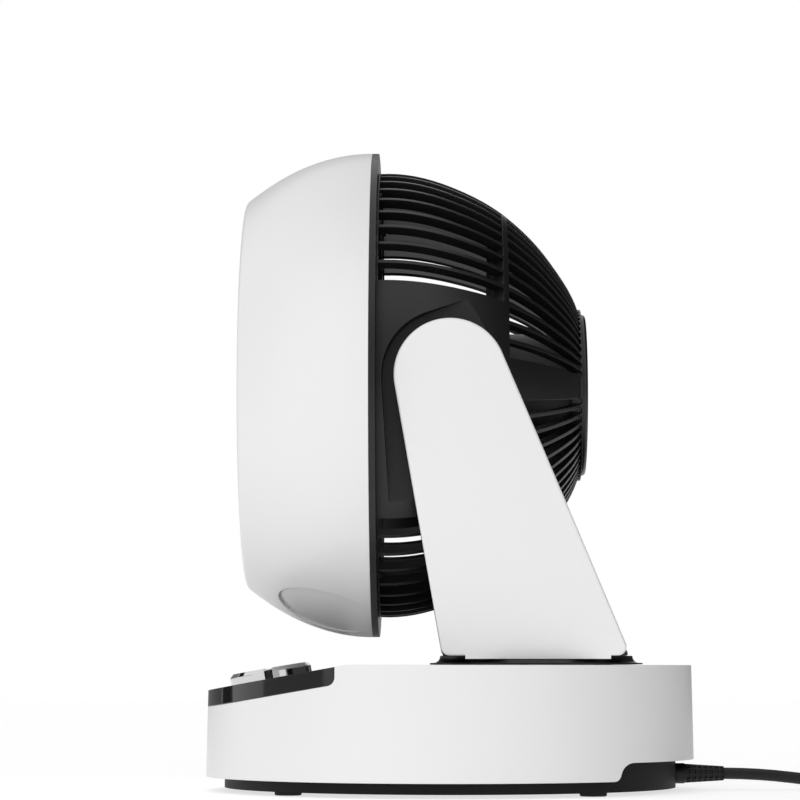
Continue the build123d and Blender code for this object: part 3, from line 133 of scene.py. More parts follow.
def vary_gloss(tree: bpy.types.NodeTree, surface: bpy.types.Node, pattern: bpy.types.NodeSocket,
               roughness: float, spread: float) -> None:
    """Let a pattern vary a surface's roughness.

    Args:
        tree: the material's node tree.
        surface: its Principled node.
        pattern: the pattern's output, from 0 to 1.
        roughness: the value in the middle.
        spread: how far the pattern takes it to each side, as a share of it.
    """
    gloss = add_node(tree, "ShaderNodeMapRange",
                     {"Value": pattern, "To Min": roughness * (1 - spread),
                      "To Max": min(1.0, roughness * (1 + spread))})
    tree.links.new(gloss.outputs[0], surface.inputs["Roughness"])


def emboss(tree: bpy.types.NodeTree, surface: bpy.types.Node, pattern: bpy.types.NodeSocket,
           strength: float, height: float, edge_mm: float = 0.0) -> None:
    """Raise a pattern on a surface, over edges that are rounded off.

    Args:
        tree: the material's node tree.
        surface: its Principled node.
        pattern: the pattern's output, from 0 to 1.
        strength: how much of the pattern shows.
        height: how high it stands, in metres.
        edge_mm: radius of the rounded edges, or 0 to leave them sharp.
    """
    inputs = {"Height": pattern, "Strength": strength, "Distance": height}
    if edge_mm:
        edge = add_node(tree, "ShaderNodeBevel", {"Radius": edge_mm * MM}, samples=EDGE_SAMPLES)
        inputs["Normal"] = edge.outputs[0]
    bump = add_node(tree, "ShaderNodeBump", inputs)
    tree.links.new(bump.outputs[0], surface.inputs["Normal"])


# ------------------------------------------------------------------ meshes
def smoothing_group() -> bpy.types.NodeTree:
    """Make, or find again, the modifier group that joins triangles and shades them by angle.

    Returns:
        The geometry node group.
    """
    name = "join_and_smooth"
    if name in bpy.data.node_groups:
        return bpy.data.node_groups[name]
    tree = bpy.data.node_groups.new(name, "GeometryNodeTree")
    for way in ("INPUT", "OUTPUT"):
        tree.interface.new_socket("Geometry", in_out=way, socket_type="NodeSocketGeometry")
    start = add_node(tree, "NodeGroupInput")
    joined = add_node(tree, "GeometryNodeMergeByDistance",
                      {"Geometry": start.outputs[0], "Distance": MERGE_MM * MM})
    angle = add_node(tree, "GeometryNodeInputMeshEdgeAngle")
    shallow = add_node(tree, "FunctionNodeCompare",
                       {0: angle.outputs[0], 1: math.radians(SMOOTH_DEG)},
                       data_type="FLOAT", operation="LESS_EQUAL")
    faces = add_node(tree, "GeometryNodeSetShadeSmooth", {"Geometry": joined.outputs[0]})
    edges = add_node(tree, "GeometryNodeSetShadeSmooth",
                     {"Geometry": faces.outputs[0], "Shade Smooth": shallow.outputs[0]},
                     domain="EDGE")
    add_node(tree, "NodeGroupOutput", {0: edges.outputs[0]})
    return tree


def smooth(piece: bpy.types.Object) -> None:
    """Put the smoothing group on a piece."""
    piece.modifiers.new("smooth", "NODES").node_group = smoothing_group()


def spun(profile: list[tuple[float, float]], height: float, steps: int) -> bmesh.types.BMesh:
    """Turn a profile about a line along Y.

    Args:
        profile: (radius, y) points in millimetres; a radius of 0 closes the end.
        height: height of the line above the floor, in millimetres.
        steps: segments round the turn.

    Returns:
        A closed bmesh in metres with its normals outwards.
    """
    bm = bmesh.new()
    row = [bm.verts.new((r * MM, y * MM, height * MM)) for r, y in profile]
    edges = [bm.edges.new(pair) for pair in zip(row, row[1:])]
    bmesh.ops.spin(bm, geom=row + edges, cent=(0, 0, height * MM), axis=(0, 1, 0),
                   angle=2 * math.pi, steps=steps, use_merge=True)
    bmesh.ops.remove_doubles(bm, verts=bm.verts, dist=SEAM_MM * MM)
    bmesh.ops.recalc_face_normals(bm, faces=bm.faces)
    return bm


def mesh_object(bm: bmesh.types.BMesh, name: str, material: bpy.types.Material) -> bpy.types.Object:
    """Turn a bmesh into an object of the scene.

    Args:
        bm: the finished shape in metres, which is freed.
        name: the object's name.
        material: its only material.

    Returns:
        The new object, at the origin.
    """
    mesh = bpy.data.meshes.new(name)
    bm.to_mesh(mesh)
    bm.free()
    mesh.materials.append(material)
    thing = bpy.data.objects.new(name, mesh)
    bpy.context.scene.collection.objects.link(thing)
    return thing


# ------------------------------------------------------------------ finishes
@dataclass(frozen=True)
class Finish:
    """A finish: its name, its colour and the way its surface node is filled."""

    name: str
    colour: str

    def material(self) -> bpy.types.Material:
        """Make the finish's material, or find it again.

        Returns:
            The material, the same one each time.
        """
        if self.name in bpy.data.materials:
            return bpy.data.materials[self.name]
        material = new_material(self.name)
        tree = material.node_tree
        place = add_node(tree, "ShaderNodeTexCoord").outputs["Object"]
        surface = add_node(tree, "ShaderNodeBsdfPrincipled")
        self.fill(tree, surface, place)
        add_node(tree, "ShaderNodeOutputMaterial", {"Surface": surface.outputs[0]})
        return material

    def fill(self, tree: bpy.types.NodeTree, surface: bpy.types.Node,
             place: bpy.types.NodeSocket) -> None:
        """Fill the surface node from Object coordinates; each kind of finish has its own way."""
        raise NotImplementedError


@dataclass(frozen=True)
class MouldedPlastic(Finish):
    """Injection moulded ABS or PP, with a spark-eroded or polished mould surface."""

    roughness: float = 0.4
    gloss_spread: float = 0.12  # how far the grain varies the roughness, as a share
    grain_mm: float = 0.6       # drawn coarser than the real 0.1 mm so that it shows
    grain_um: float = 12.0      # height of the grain
    grain_strength: float = 0.5
    flow_mm: float = 60.0       # size of the clouds that the flow in the mould leaves
    mottle: float = 0.03        # how far they vary the colour, as a share
    ior: float = 1.52
    edge_mm: float = 0.5        # radius of the mould's rounded edges

    def fill(self, tree: bpy.types.NodeTree, surface: bpy.types.Node,
             place: bpy.types.NodeSocket) -> None:
        """Cloud the colour faintly, and put a fine grain in gloss and height.

        Args:
            tree: the material's node tree.
            surface: its Principled node.
            place: the output with Object coordinates.
        """
        flow = add_node(tree, "ShaderNodeTexNoise",
                        {"Vector": place, "Scale": per_mm(self.flow_mm), "Detail": 3.0,
                         "Roughness": 0.6})
        base = linear(self.colour)[:3]
        low, high = ((*[min(1.0, part * share) for part in base], 1.0)
                     for share in (1 - self.mottle, 1 + self.mottle))
        tint = add_node(tree, "ShaderNodeMix", {0: flow.outputs["Fac"], MIX_A: low, MIX_B: high},
                        data_type="RGBA")
        tree.links.new(tint.outputs[MIX_OUT], surface.inputs["Base Color"])
        grain = add_node(tree, "ShaderNodeTexNoise",
                         {"Vector": place, "Scale": per_mm(self.grain_mm), "Detail": 2.0,
                          "Roughness": 0.5}).outputs["Fac"]
        vary_gloss(tree, surface, grain, self.roughness, self.gloss_spread)
        emboss(tree, surface, grain, self.grain_strength, self.grain_um * MICRON, self.edge_mm)
        surface.inputs["IOR"].default_value = self.ior


@dataclass(frozen=True)
class Metal(Finish):
    """A bare or plated metal with fine tool marks."""

    roughness: float = 0.25
    gloss_spread: float = 0.3   # how far the marks vary the roughness, as a share
    mark_mm: float = 0.5        # size of the marks
    mark_um: float = 4.0        # height of the marks
    mark_strength: float = 0.4
    stretch: Point = (1.0, 1.0, 1.0)   # less than 1 draws the marks out along that axis
    edge_mm: float = 0.3        # radius of the broken edges

    def fill(self, tree: bpy.types.NodeTree, surface: bpy.types.Node,
             place: bpy.types.NodeSocket) -> None:
        """Put the marks, drawn out by a mapping, in gloss and height.

        Args:
            tree: the material's node tree.
            surface: its Principled node.
            place: the output with Object coordinates.
        """
        surface.inputs["Metallic"].default_value = 1.0
        surface.inputs["Base Color"].default_value = linear(self.colour)
        mapped = add_node(tree, "ShaderNodeMapping", {"Vector": place, "Scale": self.stretch})
        marks = add_node(tree, "ShaderNodeTexNoise",
                         {"Vector": mapped.outputs[0], "Scale": per_mm(self.mark_mm),
                          "Detail": 4.0}).outputs["Fac"]
        vary_gloss(tree, surface, marks, self.roughness, self.gloss_spread)
        emboss(tree, surface, marks, self.mark_strength, self.mark_um * MICRON, self.edge_mm)


@dataclass(frozen=True)
class Rings(Finish):
    """Wire or sheet laid side by side along Y, such as a winding or a lamination stack."""

    gap_colour: str = "#101010"
    pitch_mm: float = 0.8
    gap_share: float = 0.2      # depth of the gaps, as a share of the pitch
    gap_strength: float = 0.6
    waver: float = 0.4          # how unevenly the bands run
    roughness: float = 0.35

    def fill(self, tree: bpy.types.NodeTree, surface: bpy.types.Node,
             place: bpy.types.NodeSocket) -> None:
        """Put bands across Y in colour and height.

        Args:
            tree: the material's node tree.
            surface: its Principled node.
            place: the output with Object coordinates.
        """
        bands = add_node(tree, "ShaderNodeTexWave",
                         {"Vector": place, "Scale": per_mm(self.pitch_mm) * WAVE_PERIOD,
                          "Distortion": self.waver, "Detail": 1.0},
                         bands_direction="Y").outputs["Fac"]
        tint = add_node(tree, "ShaderNodeMix",
                        {0: bands, MIX_A: linear(self.gap_colour), MIX_B: linear(self.colour)},
                        data_type="RGBA")
        tree.links.new(tint.outputs[MIX_OUT], surface.inputs["Base Color"])
        surface.inputs["Metallic"].default_value = 1.0
        surface.inputs["Roughness"].default_value = self.roughness
        emboss(tree, surface, bands, self.gap_strength, self.pitch_mm * self.gap_share * MM)


@dataclass(frozen=True)
class CircuitBoard(Finish):
    """Lacquered glass-fibre board with tracks under the lacquer."""

    patch_colour: str = "#0d3319"     # of some of the patches between the tracks
    track_colour: str = "#2f6a3c"
    patch_mm: float = 2.0
    track_width: float = 0.05   # in the texture's own units
    roughness: float = 0.3
    lacquer: float = 0.4        # weight of the clear coat

    def fill(self, tree: bpy.types.NodeTree, surface: bpy.types.Node,
             place: bpy.types.NodeSocket) -> None:
        """Draw blocky tracks, lighter than the patches between them.

        Args:
            tree: the material's node tree.
            surface: its Principled node.
            place: the output with Object coordinates.
        """
        tracks = add_node(tree, "ShaderNodeTexBrick",
                          {"Vector": place, "Scale": per_mm(self.patch_mm) * BRICK_ROW,
                           "Color1": linear(self.colour), "Color2": linear(self.patch_colour),
                           "Mortar": linear(self.track_colour), "Mortar Size": self.track_width})
        tree.links.new(tracks.outputs["Color"], surface.inputs["Base Color"])
        surface.inputs["Roughness"].default_value = self.roughness
        surface.inputs["Coat Weight"].default_value = self.lacquer


# White ABS from a polished mould: a soft, broad gloss and no visible grain.
WHITE_ABS = MouldedPlastic("white_abs_polished", "#ebebeb", roughness=0.34, grain_mm=0.5,
                           grain_um=2.0, mottle=0.008)
# Black ABS from a spark-eroded mould: a fine matt grain that spreads each highlight.
BLACK_ABS = MouldedPlastic("black_abs_fine_grain", "#0f0f10", roughness=0.35, grain_um=14.0,
                           mottle=0.08, ior=1.5)
# Black ABS of the underside plate, a shaded copy: its colour is darker than the shells' as painted
# shade, and it is so dull that the pale floor hardly shows in it.
PLATE_ABS = MouldedPlastic("black_abs_plate_painted_shade", "#080809", roughness=0.55, grain_um=18.0,
                           mottle=0.08, ior=1.34)
# Black moulded PP of the impeller and grille: a little softer in gloss than the shells.
BLACK_PP = MouldedPlastic("black_polypropylene", "#0f1011", roughness=0.36, grain_um=8.0,
                          mottle=0.08, ior=1.49)
# Piano-black ABS from a mirror-polished mould: sharp reflections over a deep black.
PANEL_ABS = MouldedPlastic("piano_black_abs", "#1a1a1b", roughness=0.08, grain_um=0.3,
                           mottle=0.02, edge_mm=0.6)
# Chrome plate on moulded keys: near-mirror, with hardly any marks.
KEY_CHROME = Metal("chrome_plated_abs", "#d6d6d6", roughness=0.07, mark_mm=1.5, mark_um=0.6,
                   edge_mm=0.5)
# Zinc-plated steel of screws and washers: a pale grey with a soft gloss.
ZINC_STEEL = Metal("zinc_plated_steel", "#b7b8b6", roughness=0.3, mark_mm=0.4)
# Black-oxide steel of the head's screws: dull, so that they don't sparkle beside the ring.
BLACK_STEEL = Metal("black_oxide_steel", "#2a2a2c", roughness=0.5, mark_mm=0.4)
# Ground steel of shafts and bearings: bright, with fine rings round the shaft.
SHAFT_STEEL = Metal("ground_steel", "#a9abad", roughness=0.2, mark_mm=0.8,
                    stretch=(0.1, 1.0, 0.1))
# Deep-drawn steel of the motor cases under black lacquer: an even satin.
MOTOR_CASE = MouldedPlastic("lacquered_motor_case", "#1f2022", roughness=0.34, grain_mm=1.2,
                            grain_um=10.0, mottle=0.12)
# Natural moulded POM of bearings and pins: waxy off-white.
NATURAL_POM = MouldedPlastic("natural_pom", "#e4e0d2", roughness=0.38, grain_um=4.0)
# Moulded rubber of the feet: dull, with a talc-like grain.
FOOT_RUBBER = MouldedPlastic("moulded_rubber", "#1c1b1a", roughness=0.82, grain_mm=0.9,
                             grain_um=30.0, mottle=0.1, ior=1.5)
# Extruded flexible PVC of cord, relief and plug: satin and slightly uneven.
CORD_PVC = MouldedPlastic("extruded_black_pvc", "#0c0c0d", roughness=0.46, grain_mm=1.4,
                          grain_um=24.0, mottle=0.1, ior=1.4)
# Enamelled copper wire wound in close turns: orange-brown rows with dark gaps.
COPPER = Rings("enamelled_copper_wire", "#b4612f", gap_colour="#3a1608", pitch_mm=0.8,
               roughness=0.28)
# Electrical steel punched and stacked: grey rows with a dull gloss.
LAMINATIONS = Rings("electrical_steel_stack", "#55575a", gap_colour="#1c1d1e", pitch_mm=1.0,
                    roughness=0.5)
# Glass-fibre board under green lacquer: tracks show through a thin gloss.
BOARD = CircuitBoard("lacquered_circuit_board", "#124a26")
# Moulded cases of switches and components: plain, dull near-black.
COMPONENTS = MouldedPlastic("moulded_component", "#222226", roughness=0.5, grain_um=6.0)
# Nickel-plated brass of the plug's pins: a warm, pale metal with marks along the pin.
PIN_BRASS = Metal("nickel_plated_brass", "#c9c2a6", roughness=0.18, mark_mm=0.6,
                  stretch=(1.0, 0.2, 1.0))


# ------------------------------------------------------------------ sub-assemblies
def worn(**finishes: Finish) -> dict[str, Finish]:
    """Return a dataclass field that gives each named node its finish."""
    return field(default_factory=lambda: dict(finishes))


def make_piece(bm: bmesh.types.BMesh, name: str, body: Body, finish: Finish) -> bpy.types.Object:
    """Turn a bmesh into a dressed piece that rides on a body.

    Args:
        bm: the finished shape in metres, which is freed.
        name: the piece's name.
        body: the moving group that carries it.
        finish: its finish.

    Returns:
        The new piece, at the origin.
    """
    piece = mesh_object(bm, name, finish.material())
    smooth(piece)
    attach(piece, body.value)
    return piece


@dataclass
class SubAssembly:
    """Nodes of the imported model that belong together, each with its finish."""

    finishes: dict[str, Finish] = worn()

    def dress(self) -> Pieces:
        """Give each node its finish and smooth shading.

        Returns:
            The dressed nodes.
        """
        nodes = [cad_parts[name] for name in self.finishes]
        for node, finish in zip(nodes, self.finishes.values()):
            node.data.materials.clear()
            node.data.materials.append(finish.material())
            smooth(node)
        return nodes

    def shape(self) -> Pieces:
        """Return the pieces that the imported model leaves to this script, if any."""
        return []

    def build(self) -> Pieces:
        """Dress the nodes, make the other pieces, and return them all."""
        return self.dress() + self.shape()


@dataclass
class Base(SubAssembly):
    """White shell on a dark plate with rubber feet."""

    finishes: dict[str, Finish] = worn(
        base_shell=WHITE_ABS, base_plate=PLATE_ABS, rubber_feet=FOOT_RUBBER,
        base_screws=ZINC_STEEL, turntable_bearing=NATURAL_POM, pan_motor=MOTOR_CASE)


@dataclass
class KeyPanel(SubAssembly):
    """Gloss panel with its ring of plated keys."""

    finishes: dict[str, Finish] = worn(
        control_panel=PANEL_ABS, key_frame=BLACK_ABS, power_button=KEY_CHROME,
        key_rear_right=KEY_CHROME, key_rear_left=KEY_CHROME, key_front_left=KEY_CHROME,
        key_front_right=KEY_CHROME)


@dataclass
class Electrics(SubAssembly):
    """Boards, switches and the blocks on them."""

    finishes: dict[str, Finish] = worn(
        control_board=BOARD, power_board=BOARD, tact_switches=COMPONENTS, board_parts=COMPONENTS)


@dataclass
class Yoke(SubAssembly):
    """Saddle, two arms with white covers, and the tilt drive."""

    finishes: dict[str, Finish] = worn(
        yoke_saddle=BLACK_ABS, turntable_retainer=BLACK_ABS, pan_shaft=SHAFT_STEEL,
        arm_cover_right=WHITE_ABS, arm_cover_left=WHITE_ABS, arm_frame_right=BLACK_ABS,
        arm_frame_left=BLACK_ABS, tilt_bush_right=NATURAL_POM, tilt_bush_left=NATURAL_POM,
        tilt_motor=MOTOR_CASE, arm_screws=ZINC_STEEL)


@dataclass
class HeadShells(SubAssembly):
    """Bezel, ring and ribbed rear shell, with the sloped ends of the front tier's slots."""

    finishes: dict[str, Finish] = worn(
        front_bezel=WHITE_ABS, chassis_ring=BLACK_ABS, rear_housing=BLACK_ABS, rear_cap=BLACK_ABS,
        head_screws=BLACK_STEEL, trunnion_right=NATURAL_POM, trunnion_left=NATURAL_POM,
        pin_washer=ZINC_STEEL)
    axis_z: float = 243.8        # height of the fan's axis
    ramp_front: tuple[float, float] = (107.5, 24.0)   # radius and y where the slope starts
    ramp_top: tuple[float, float] = (111.6, 32.4)     # where it meets the rib behind the slot
    ramp_root: tuple[float, float] = (103.0, 32.4)    # the wedge's inner corner
    steps: int = 96              # segments round the turn

    def shape(self) -> Pieces:
        """Make a ring of wedge section that closes each slot's rear end at a slope.

        Returns:
            The ring alone.
        """
        profile = [self.ramp_front, self.ramp_top, self.ramp_root, self.ramp_front]
        return [make_piece(spun(profile, self.axis_z, self.steps), "slot_ramps", Body.HEAD,
                           BLACK_ABS)]


@dataclass
class AirPath(SubAssembly):
    """Vaned grille, duct and impeller."""

    finishes: dict[str, Finish] = worn(
        front_grille=BLACK_PP, grille_cap=BLACK_PP, duct_ring=BLACK_ABS, impeller=BLACK_PP,
        impeller_nut=BLACK_PP)


@dataclass
class BladeMotor(SubAssembly):
    """The motor behind the impeller."""

    finishes: dict[str, Finish] = worn(
        motor_front_shell=MOTOR_CASE, motor_rear_shell=MOTOR_CASE, stator_core=LAMINATIONS,
        motor_rotor=LAMINATIONS, stator_windings=COPPER, motor_shaft=SHAFT_STEEL,
        motor_bearings=SHAFT_STEEL)


@dataclass
class StrainRelief(SubAssembly):
    """Tapered sleeve with a grid of square pockets, where the cord leaves the base."""

    height: float = 10.3         # of the sleeve's axis above the floor
    flange_r: float = 5.3
    neck_r: float = 4.6
    root_r: float = 6.25
    body_r: float = 5.9
    tip_r: float = 4.4
    flange_y: tuple[float, float] = (134.0, 136.0)
    root_y: tuple[float, float] = (138.5, 144.0)
    end_y: float = 168.3
    columns: int = 7             # of pockets along the body
    web_share: float = 0.36      # share of a column's length that is web
    pockets: int = 10            # round the sleeve
    steps_per_pocket: int = 4    # the last of them is the web between two pockets
    depth: float = 0.9
    wall: float = 0.2            # how far a pocket's floor is set in from its rim
    end_normal: float = 0.5      # a face that looks further along Y is an end or a step

    def stations(self) -> list[float]:
        """Work out where the webs and pockets meet along the body.

        Returns:
            Places along Y, from the root to the tip.
        """
        start = self.root_y[1]
        column = (self.end_y - start) / self.columns
        middle = [start + (i + share) * column
                  for i in range(self.columns) for share in (self.web_share, 1.0)]
        return [start, *middle]

    def profile(self) -> list[tuple[float, float]]:
        """Draw the sleeve's outline from the flange to the tip.

        Returns:
            (radius, y) points, closed at both ends.
        """
        low, high = self.flange_y
        root, shoulder = self.root_y
        fall = (self.body_r - self.tip_r) / (self.end_y - shoulder)
        body = [(self.body_r - fall * (y - shoulder), y) for y in self.stations()]
        return [(0.0, low), (self.flange_r, low), (self.flange_r, high), (self.neck_r, high),
                (self.neck_r, root), (self.root_r, root), (self.root_r, shoulder), *body,
                (0.0, self.end_y)]

    def in_pocket(self, face: bmesh.types.BMFace) -> bool:
        """Tell whether a face belongs to a pocket.

        Args:
            face: a face of the spun sleeve.

        Returns:
            True for the faces of the body that are neither web nor end.
        """
        middle = face.calc_center_median() / MM
        if abs(face.normal.y) > self.end_normal or middle.y < self.root_y[1]:
            return False
        column = (middle.y - self.root_y[1]) / (self.end_y - self.root_y[1]) * self.columns
        turn = math.atan2(middle.z - self.height, middle.x) / (2 * math.pi) % 1.0
        step = int(turn * self.pockets * self.steps_per_pocket)
        last = self.steps_per_pocket - 1
        return column % 1.0 > self.web_share and step % self.steps_per_pocket != last

    def shape(self) -> Pieces:
        """Make the sleeve, sink its pockets and let it stand for the node.

        Returns:
            The sleeve alone.
        """
        bm = spun(self.profile(), self.height, self.pockets * self.steps_per_pocket)
        faces = [face for face in bm.faces if self.in_pocket(face)]
        bmesh.ops.inset_region(bm, faces=faces, thickness=self.wall * MM, depth=-self.depth * MM,
                               use_even_offset=True)
        piece = make_piece(bm, "relief_sleeve", Body.BASE, CORD_PVC)
        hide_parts("strain_relief")
        return [piece]


# ------------------------------------------------------------------ cord
@dataclass
class MainsCord(SubAssembly):
    """The free cord: lead, two-layer coil, tail and plug, on one smooth line."""

    finishes: dict[str, Finish] = worn(
        cord_tie=CORD_PVC, plug_body=CORD_PVC, plug_pins=PIN_BRASS)
    radius: float = 3.6
    exit_point: Point = (0.0, 168.3, 10.3)
    lead: tuple[Point, ...] = ((0.0, 189.3, 10.3), (1.2, 231.0, 5.2), (0.0, 256.0, 4.5))
    coil_radius: float = 51.5
    coil_middle: tuple[float, float] = (-51.5, 284.0)
    pitch: float = 7.7           # from one turn to the next, and between the layers
    lift: float = 0.9            # of the lower layer above the floor
    lower_turns: int = 5         # half turns
    upper_turns: int = 6         # half turns
    points_per_half: int = 8
    leave_y: float = 325.0       # where the tail turns away from the coil
    tail: tuple[Point, ...] = ((29.5, 350.5, 7.6), (65.5, 350.5, 4.6), (91.0, 325.0, 6.85),
                               (91.0, 291.0, 6.85))
    length: float = 1.86         # metres, from the relief's tip to the plug
    round_steps: int = 5         # bevel resolution of the sheath
    line_steps: int = 4          # curve resolution between control points

    def stations(self) -> list[tuple[float, float]]:
        """Work out the ends of the half turns.

        Returns:
            Distance from the coil's middle along X, and height, of each end.
        """
        low, step = self.radius + self.lift, self.pitch / 2
        lower = [self.coil_radius - step * i for i in range(self.lower_turns + 1)]
        upper = [lower[-1] - step]
        upper += [lower[-1] + step * i for i in range(1, self.upper_turns + 1)]
        heights = [low] * len(lower) + [low + self.pitch] * len(upper)
        return [((-1) ** i * r, z) for i, (r, z) in enumerate(zip(lower + upper, heights))]

    def turns(self) -> list[Point]:
        """Place the coil's control points, a few for each half turn.

        A spline of order 3 runs inside its control points, so they stand out by the
        cosine of half a step, and the line itself keeps the turn's radius.

        Returns:
            The control points in order.
        """
        cx, cy = self.coil_middle
        stations, count = self.stations(), self.points_per_half
        out = 1.0 / math.cos(math.pi / 2 / count)
        points = []
        for i, ((xa, za), (xb, zb)) in enumerate(zip(stations, stations[1:])):
            middle, radius = (xa + xb) / 2, abs(xa - xb) / 2
            side = 1 if i % 2 == 0 else -1
            for j in range(count):
                angle = (j + 0.5) * math.pi / count
                share = (1 - math.cos(angle)) / 2
                x = middle + (xa - middle) * math.cos(angle) * out
                y = cy + side * radius * math.sin(angle) * out
                points.append((cx + x, y, za + (zb - za) * share))
        return points

    def route(self) -> list[Point]:
        """Join lead, coil and tail.

        Returns:
            All control points from the relief to the plug.
        """
        x, z = self.stations()[-1]
        leave = (x + self.coil_middle[0], self.leave_y, z)
        return [self.exit_point, *self.lead, *self.turns(), leave, *self.tail]

    def make_line(self) -> bpy.types.Object:
        """Make the sheath as a round curve along the route.

        Returns:
            The curve's object.
        """
        curve = bpy.data.curves.new("mains_cord", "CURVE")
        curve.dimensions = "3D"
        curve.bevel_depth = self.radius * MM
        curve.bevel_resolution = self.round_steps
        curve.resolution_u = self.line_steps
        curve.use_fill_caps = True
        route = self.route()
        spline = curve.splines.new("NURBS")
        spline.points.add(len(route) - 1)
        for point, place in zip(spline.points, route):
            point.co = (*[v * MM for v in place], 1.0)
        spline.order_u = 3
        spline.use_endpoint_u = True
        curve.materials.append(CORD_PVC.material())
        cord = bpy.data.objects.new("mains_cord", curve)
        bpy.context.scene.collection.objects.link(cord)
        return cord

    def shape(self) -> Pieces:
        """Returns:
            The relief's sleeve and the cord.
        """
        [sleeve] = StrainRelief().build()
        cord = self.make_line()
        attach(cord, Body.BASE.value)
        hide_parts("cord_lead", "cord_coil", "cord_tail")
        return [sleeve, cord]


# ------------------------------------------------------------------ studio, in metres
def bright_rays(tree: bpy.types.NodeTree) -> bpy.types.NodeSocket:
    """Tell the rays that see white surroundings from those that light the object.

    Args:
        tree: the node tree that needs to know.

    Returns:
        An output that is 1 for camera, glossy and transmission rays, else 0.
    """
    rays = add_node(tree, "ShaderNodeLightPath").outputs
    seen = rays["Is Camera Ray"]
    for kind in ("Is Glossy Ray", "Is Transmission Ray"):
        seen = add_node(tree, "ShaderNodeMath", {0: seen, 1: rays[kind]},
                        operation="MAXIMUM").outputs[0]
    return seen


@dataclass(frozen=True)
class Card:
    """A plain upright card, facing the fan, that only glossy rays see."""

    name: str
    level: float
    azimuth_deg: float          # from +X, the camera's side, towards +Y
    distance: float = 3.0
    half_deg: float = 20.0      # half its width, seen from the fan
    height: float = 3.2
    middle_z: float = 0.9

    def build(self) -> bpy.types.Object:
        """Make the card.

        Returns:
            The card's object.
        """
        material = new_material(self.name)
        tree = material.node_tree
        glow = add_node(tree, "ShaderNodeEmission", {"Strength": self.level})
        add_node(tree, "ShaderNodeOutputMaterial", {"Surface": glow.outputs[0]})
        half_width = self.distance * math.tan(math.radians(self.half_deg))
        place = (Matrix.Rotation(math.radians(self.azimuth_deg), 4, "Z")
                 @ Matrix.Translation((self.distance, 0.0, self.middle_z))
                 @ Matrix.Rotation(math.pi / 2, 4, "Y")
                 @ Matrix.Diagonal((self.height / 2, half_width, 1.0, 1.0)))
        bm = bmesh.new()
        bmesh.ops.create_grid(bm, x_segments=1, y_segments=1, size=1.0, matrix=place)
        card = mesh_object(bm, self.name, material)
        card.visible_camera = False
        card.visible_diffuse = False
        card.visible_shadow = False
        card.visible_transmission = False
        return card


@dataclass(frozen=True)
class Sun:
    """A broad, distant lamp that no reflection shows."""

    name: str
    strength: float
    angle_deg: float            # how wide it looks, which softens its shadow
    towards: Point              # the way that its light goes

    def build(self) -> None:
        """Make the lamp and turn it."""
        lamp = bpy.data.lights.new(self.name, "SUN")
        lamp.energy = self.strength
        lamp.angle = math.radians(self.angle_deg)
        thing = bpy.data.objects.new(self.name, lamp)
        thing.rotation_mode = "QUATERNION"
        thing.rotation_quaternion = Vector(self.towards).to_track_quat("-Z", "Y")
        thing.visible_glossy = False
        bpy.context.scene.collection.objects.link(thing)


# The cards draw the stripes on panel and keys.
CARDS = (
    Card("card_camera", 0.55, 0.0, distance=3.4, half_deg=25.0),
    Card("card_rear", 0.05, 112.0, distance=2.6, half_deg=56.0, height=6.0, middle_z=2.3),
    Card("card_front", 0.32, -78.0, half_deg=18.0),
    Card("card_strip", 0.01, -128.0, half_deg=6.0),
    Card("card_left", 0.2, -158.0, half_deg=23.0),
)
# The key comes over the camera, a little from its left, and the fill from the far side.
SUNS = (
    Sun("key", 0.8, 50.0, (-0.8, 0.16, -0.58)),
    Sun("fill", 0.25, 70.0, (0.75, 0.3, -0.4)),
)


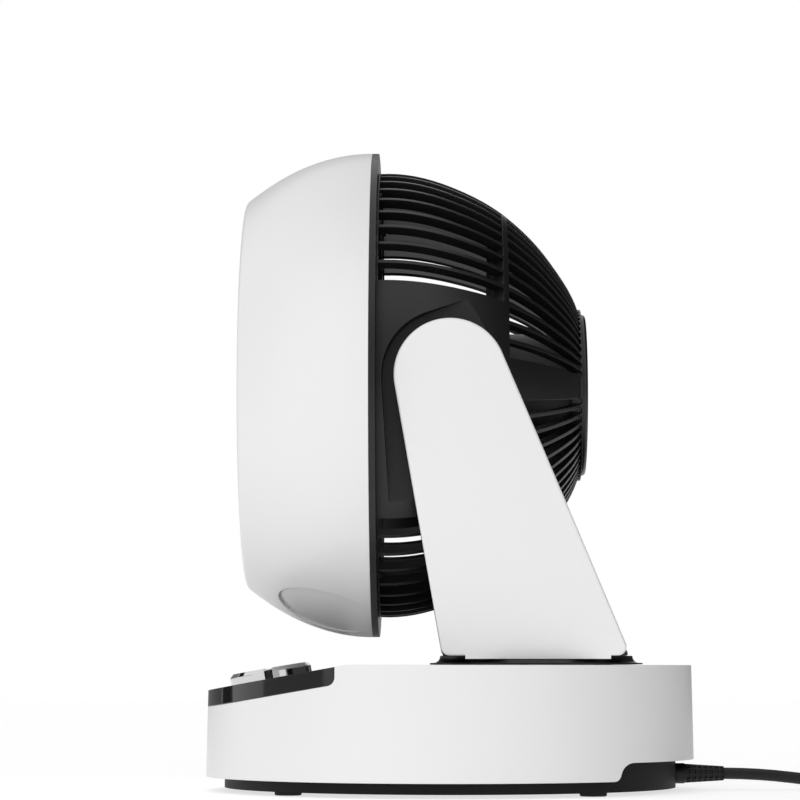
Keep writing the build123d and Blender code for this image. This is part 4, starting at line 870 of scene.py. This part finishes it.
@dataclass
class Studio:
    """Pale floor, even light and the camera."""

    lens_mm: float = 143.0
    sensor_mm: float = 36.0
    clip: tuple[float, float] = (0.05, 50.0)
    camera_at: Point = (1.97, -0.0059, 0.073)
    aim_at: Point = (0.0, -0.03075, 0.241)
    ambient: float = 0.215
    sideways: float = 0.84       # extra light from both sides, by the square of X
    slant: Point = (0.0, -0.37, 0.1)   # how the even light grows to the front and top
    floor_size: float = 12.0
    floor_grey: float = 0.88     # linear level of the floor's own colour
    floor_glow: float = 1.39
    floor_seen: float = 0.5      # share of the glow that camera and reflections see
    floor_fill: float = 0.4      # share of the glow that lights the object from below

    def build(self) -> None:
        """Make floor, world, lamps, cards and camera."""
        self.make_floor()
        self.make_world()
        for sun in SUNS:
            sun.build()
        for card in CARDS:
            card.build()
        self.make_camera()
        bpy.context.scene.view_settings.view_transform = "Standard"

    def make_floor(self) -> None:
        """Lay a plane that looks white to the camera and keeps the object's shadow."""
        material = new_material("studio_floor")
        tree = material.node_tree
        share = add_node(tree, "ShaderNodeMath",
                         {0: bright_rays(tree), 1: self.floor_seen - self.floor_fill,
                          2: self.floor_fill}, operation="MULTIPLY_ADD")
        paper = add_node(tree, "ShaderNodeBsdfDiffuse", {"Color": (*[self.floor_grey] * 3, 1.0)})
        glow = add_node(tree, "ShaderNodeEmission", {"Color": WHITE, "Strength": self.floor_glow})
        mixed = add_node(tree, "ShaderNodeMixShader",
                         {0: share.outputs[0], 1: paper.outputs[0], 2: glow.outputs[0]})
        add_node(tree, "ShaderNodeOutputMaterial", {"Surface": mixed.outputs[0]})
        bm = bmesh.new()
        bmesh.ops.create_grid(bm, x_segments=1, y_segments=1, size=self.floor_size / 2)
        floor = mesh_object(bm, "studio_floor", material)

    def make_world(self) -> None:
        """Make it white to bright rays, and otherwise soft, with more from the front and sides."""
        world = bpy.data.worlds.new("studio_world")
        bpy.context.scene.world = world
        world.use_nodes = True
        tree = world.node_tree
        tree.nodes.clear()
        towards = add_node(tree, "ShaderNodeTexCoord").outputs["Generated"]
        slant = add_node(tree, "ShaderNodeVectorMath", {0: towards, 1: self.slant},
                         operation="DOT_PRODUCT")
        across = add_node(tree, "ShaderNodeSeparateXYZ", {0: towards}).outputs["X"]
        square = add_node(tree, "ShaderNodeMath", {0: across, 1: across}, operation="MULTIPLY")
        sides = add_node(tree, "ShaderNodeMath",
                         {0: square.outputs[0], 1: self.sideways, 2: self.ambient},
                         operation="MULTIPLY_ADD")
        even = add_node(tree, "ShaderNodeMath",
                        {0: slant.outputs["Value"], 1: sides.outputs[0]}, operation="ADD")
        level = add_node(tree, "ShaderNodeMapRange",
                         {"Value": bright_rays(tree), "To Min": even.outputs[0], "To Max": 1.0})
        sky = add_node(tree, "ShaderNodeBackground",
                       {"Color": WHITE, "Strength": level.outputs[0]})
        add_node(tree, "ShaderNodeOutputWorld", {"Surface": sky.outputs[0]})

    def make_camera(self) -> None:
        """Place the camera at the photograph's angle and turn it to its aim."""
        camera = bpy.data.cameras.new("camera")
        camera.lens = self.lens_mm
        camera.sensor_width = self.sensor_mm
        camera.clip_start, camera.clip_end = self.clip
        thing = bpy.data.objects.new("camera", camera)
        at, aim = Vector(self.camera_at), Vector(self.aim_at)
        thing.location = at
        thing.rotation_mode = "QUATERNION"
        thing.rotation_quaternion = (aim - at).to_track_quat("-Z", "Y")
        bpy.context.scene.collection.objects.link(thing)
        bpy.context.scene.camera = thing


def write_size() -> None:
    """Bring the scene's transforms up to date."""
    bpy.context.view_layer.update()


def main() -> None:
    """Build the studio and every sub-assembly in order, and report each piece."""
    logging.basicConfig(level=logging.INFO)
    Studio().build()
    assemblies = (MainsCord(), Base(), KeyPanel(), Electrics(), Yoke(), HeadShells(), AirPath(),
                  BladeMotor())
    for assembly in assemblies:
        for piece in assembly.build():
            LOG.info("%s: %s", piece.name, piece.data.materials[0].name)
    write_size()


if __name__ == "__main__":
    main()
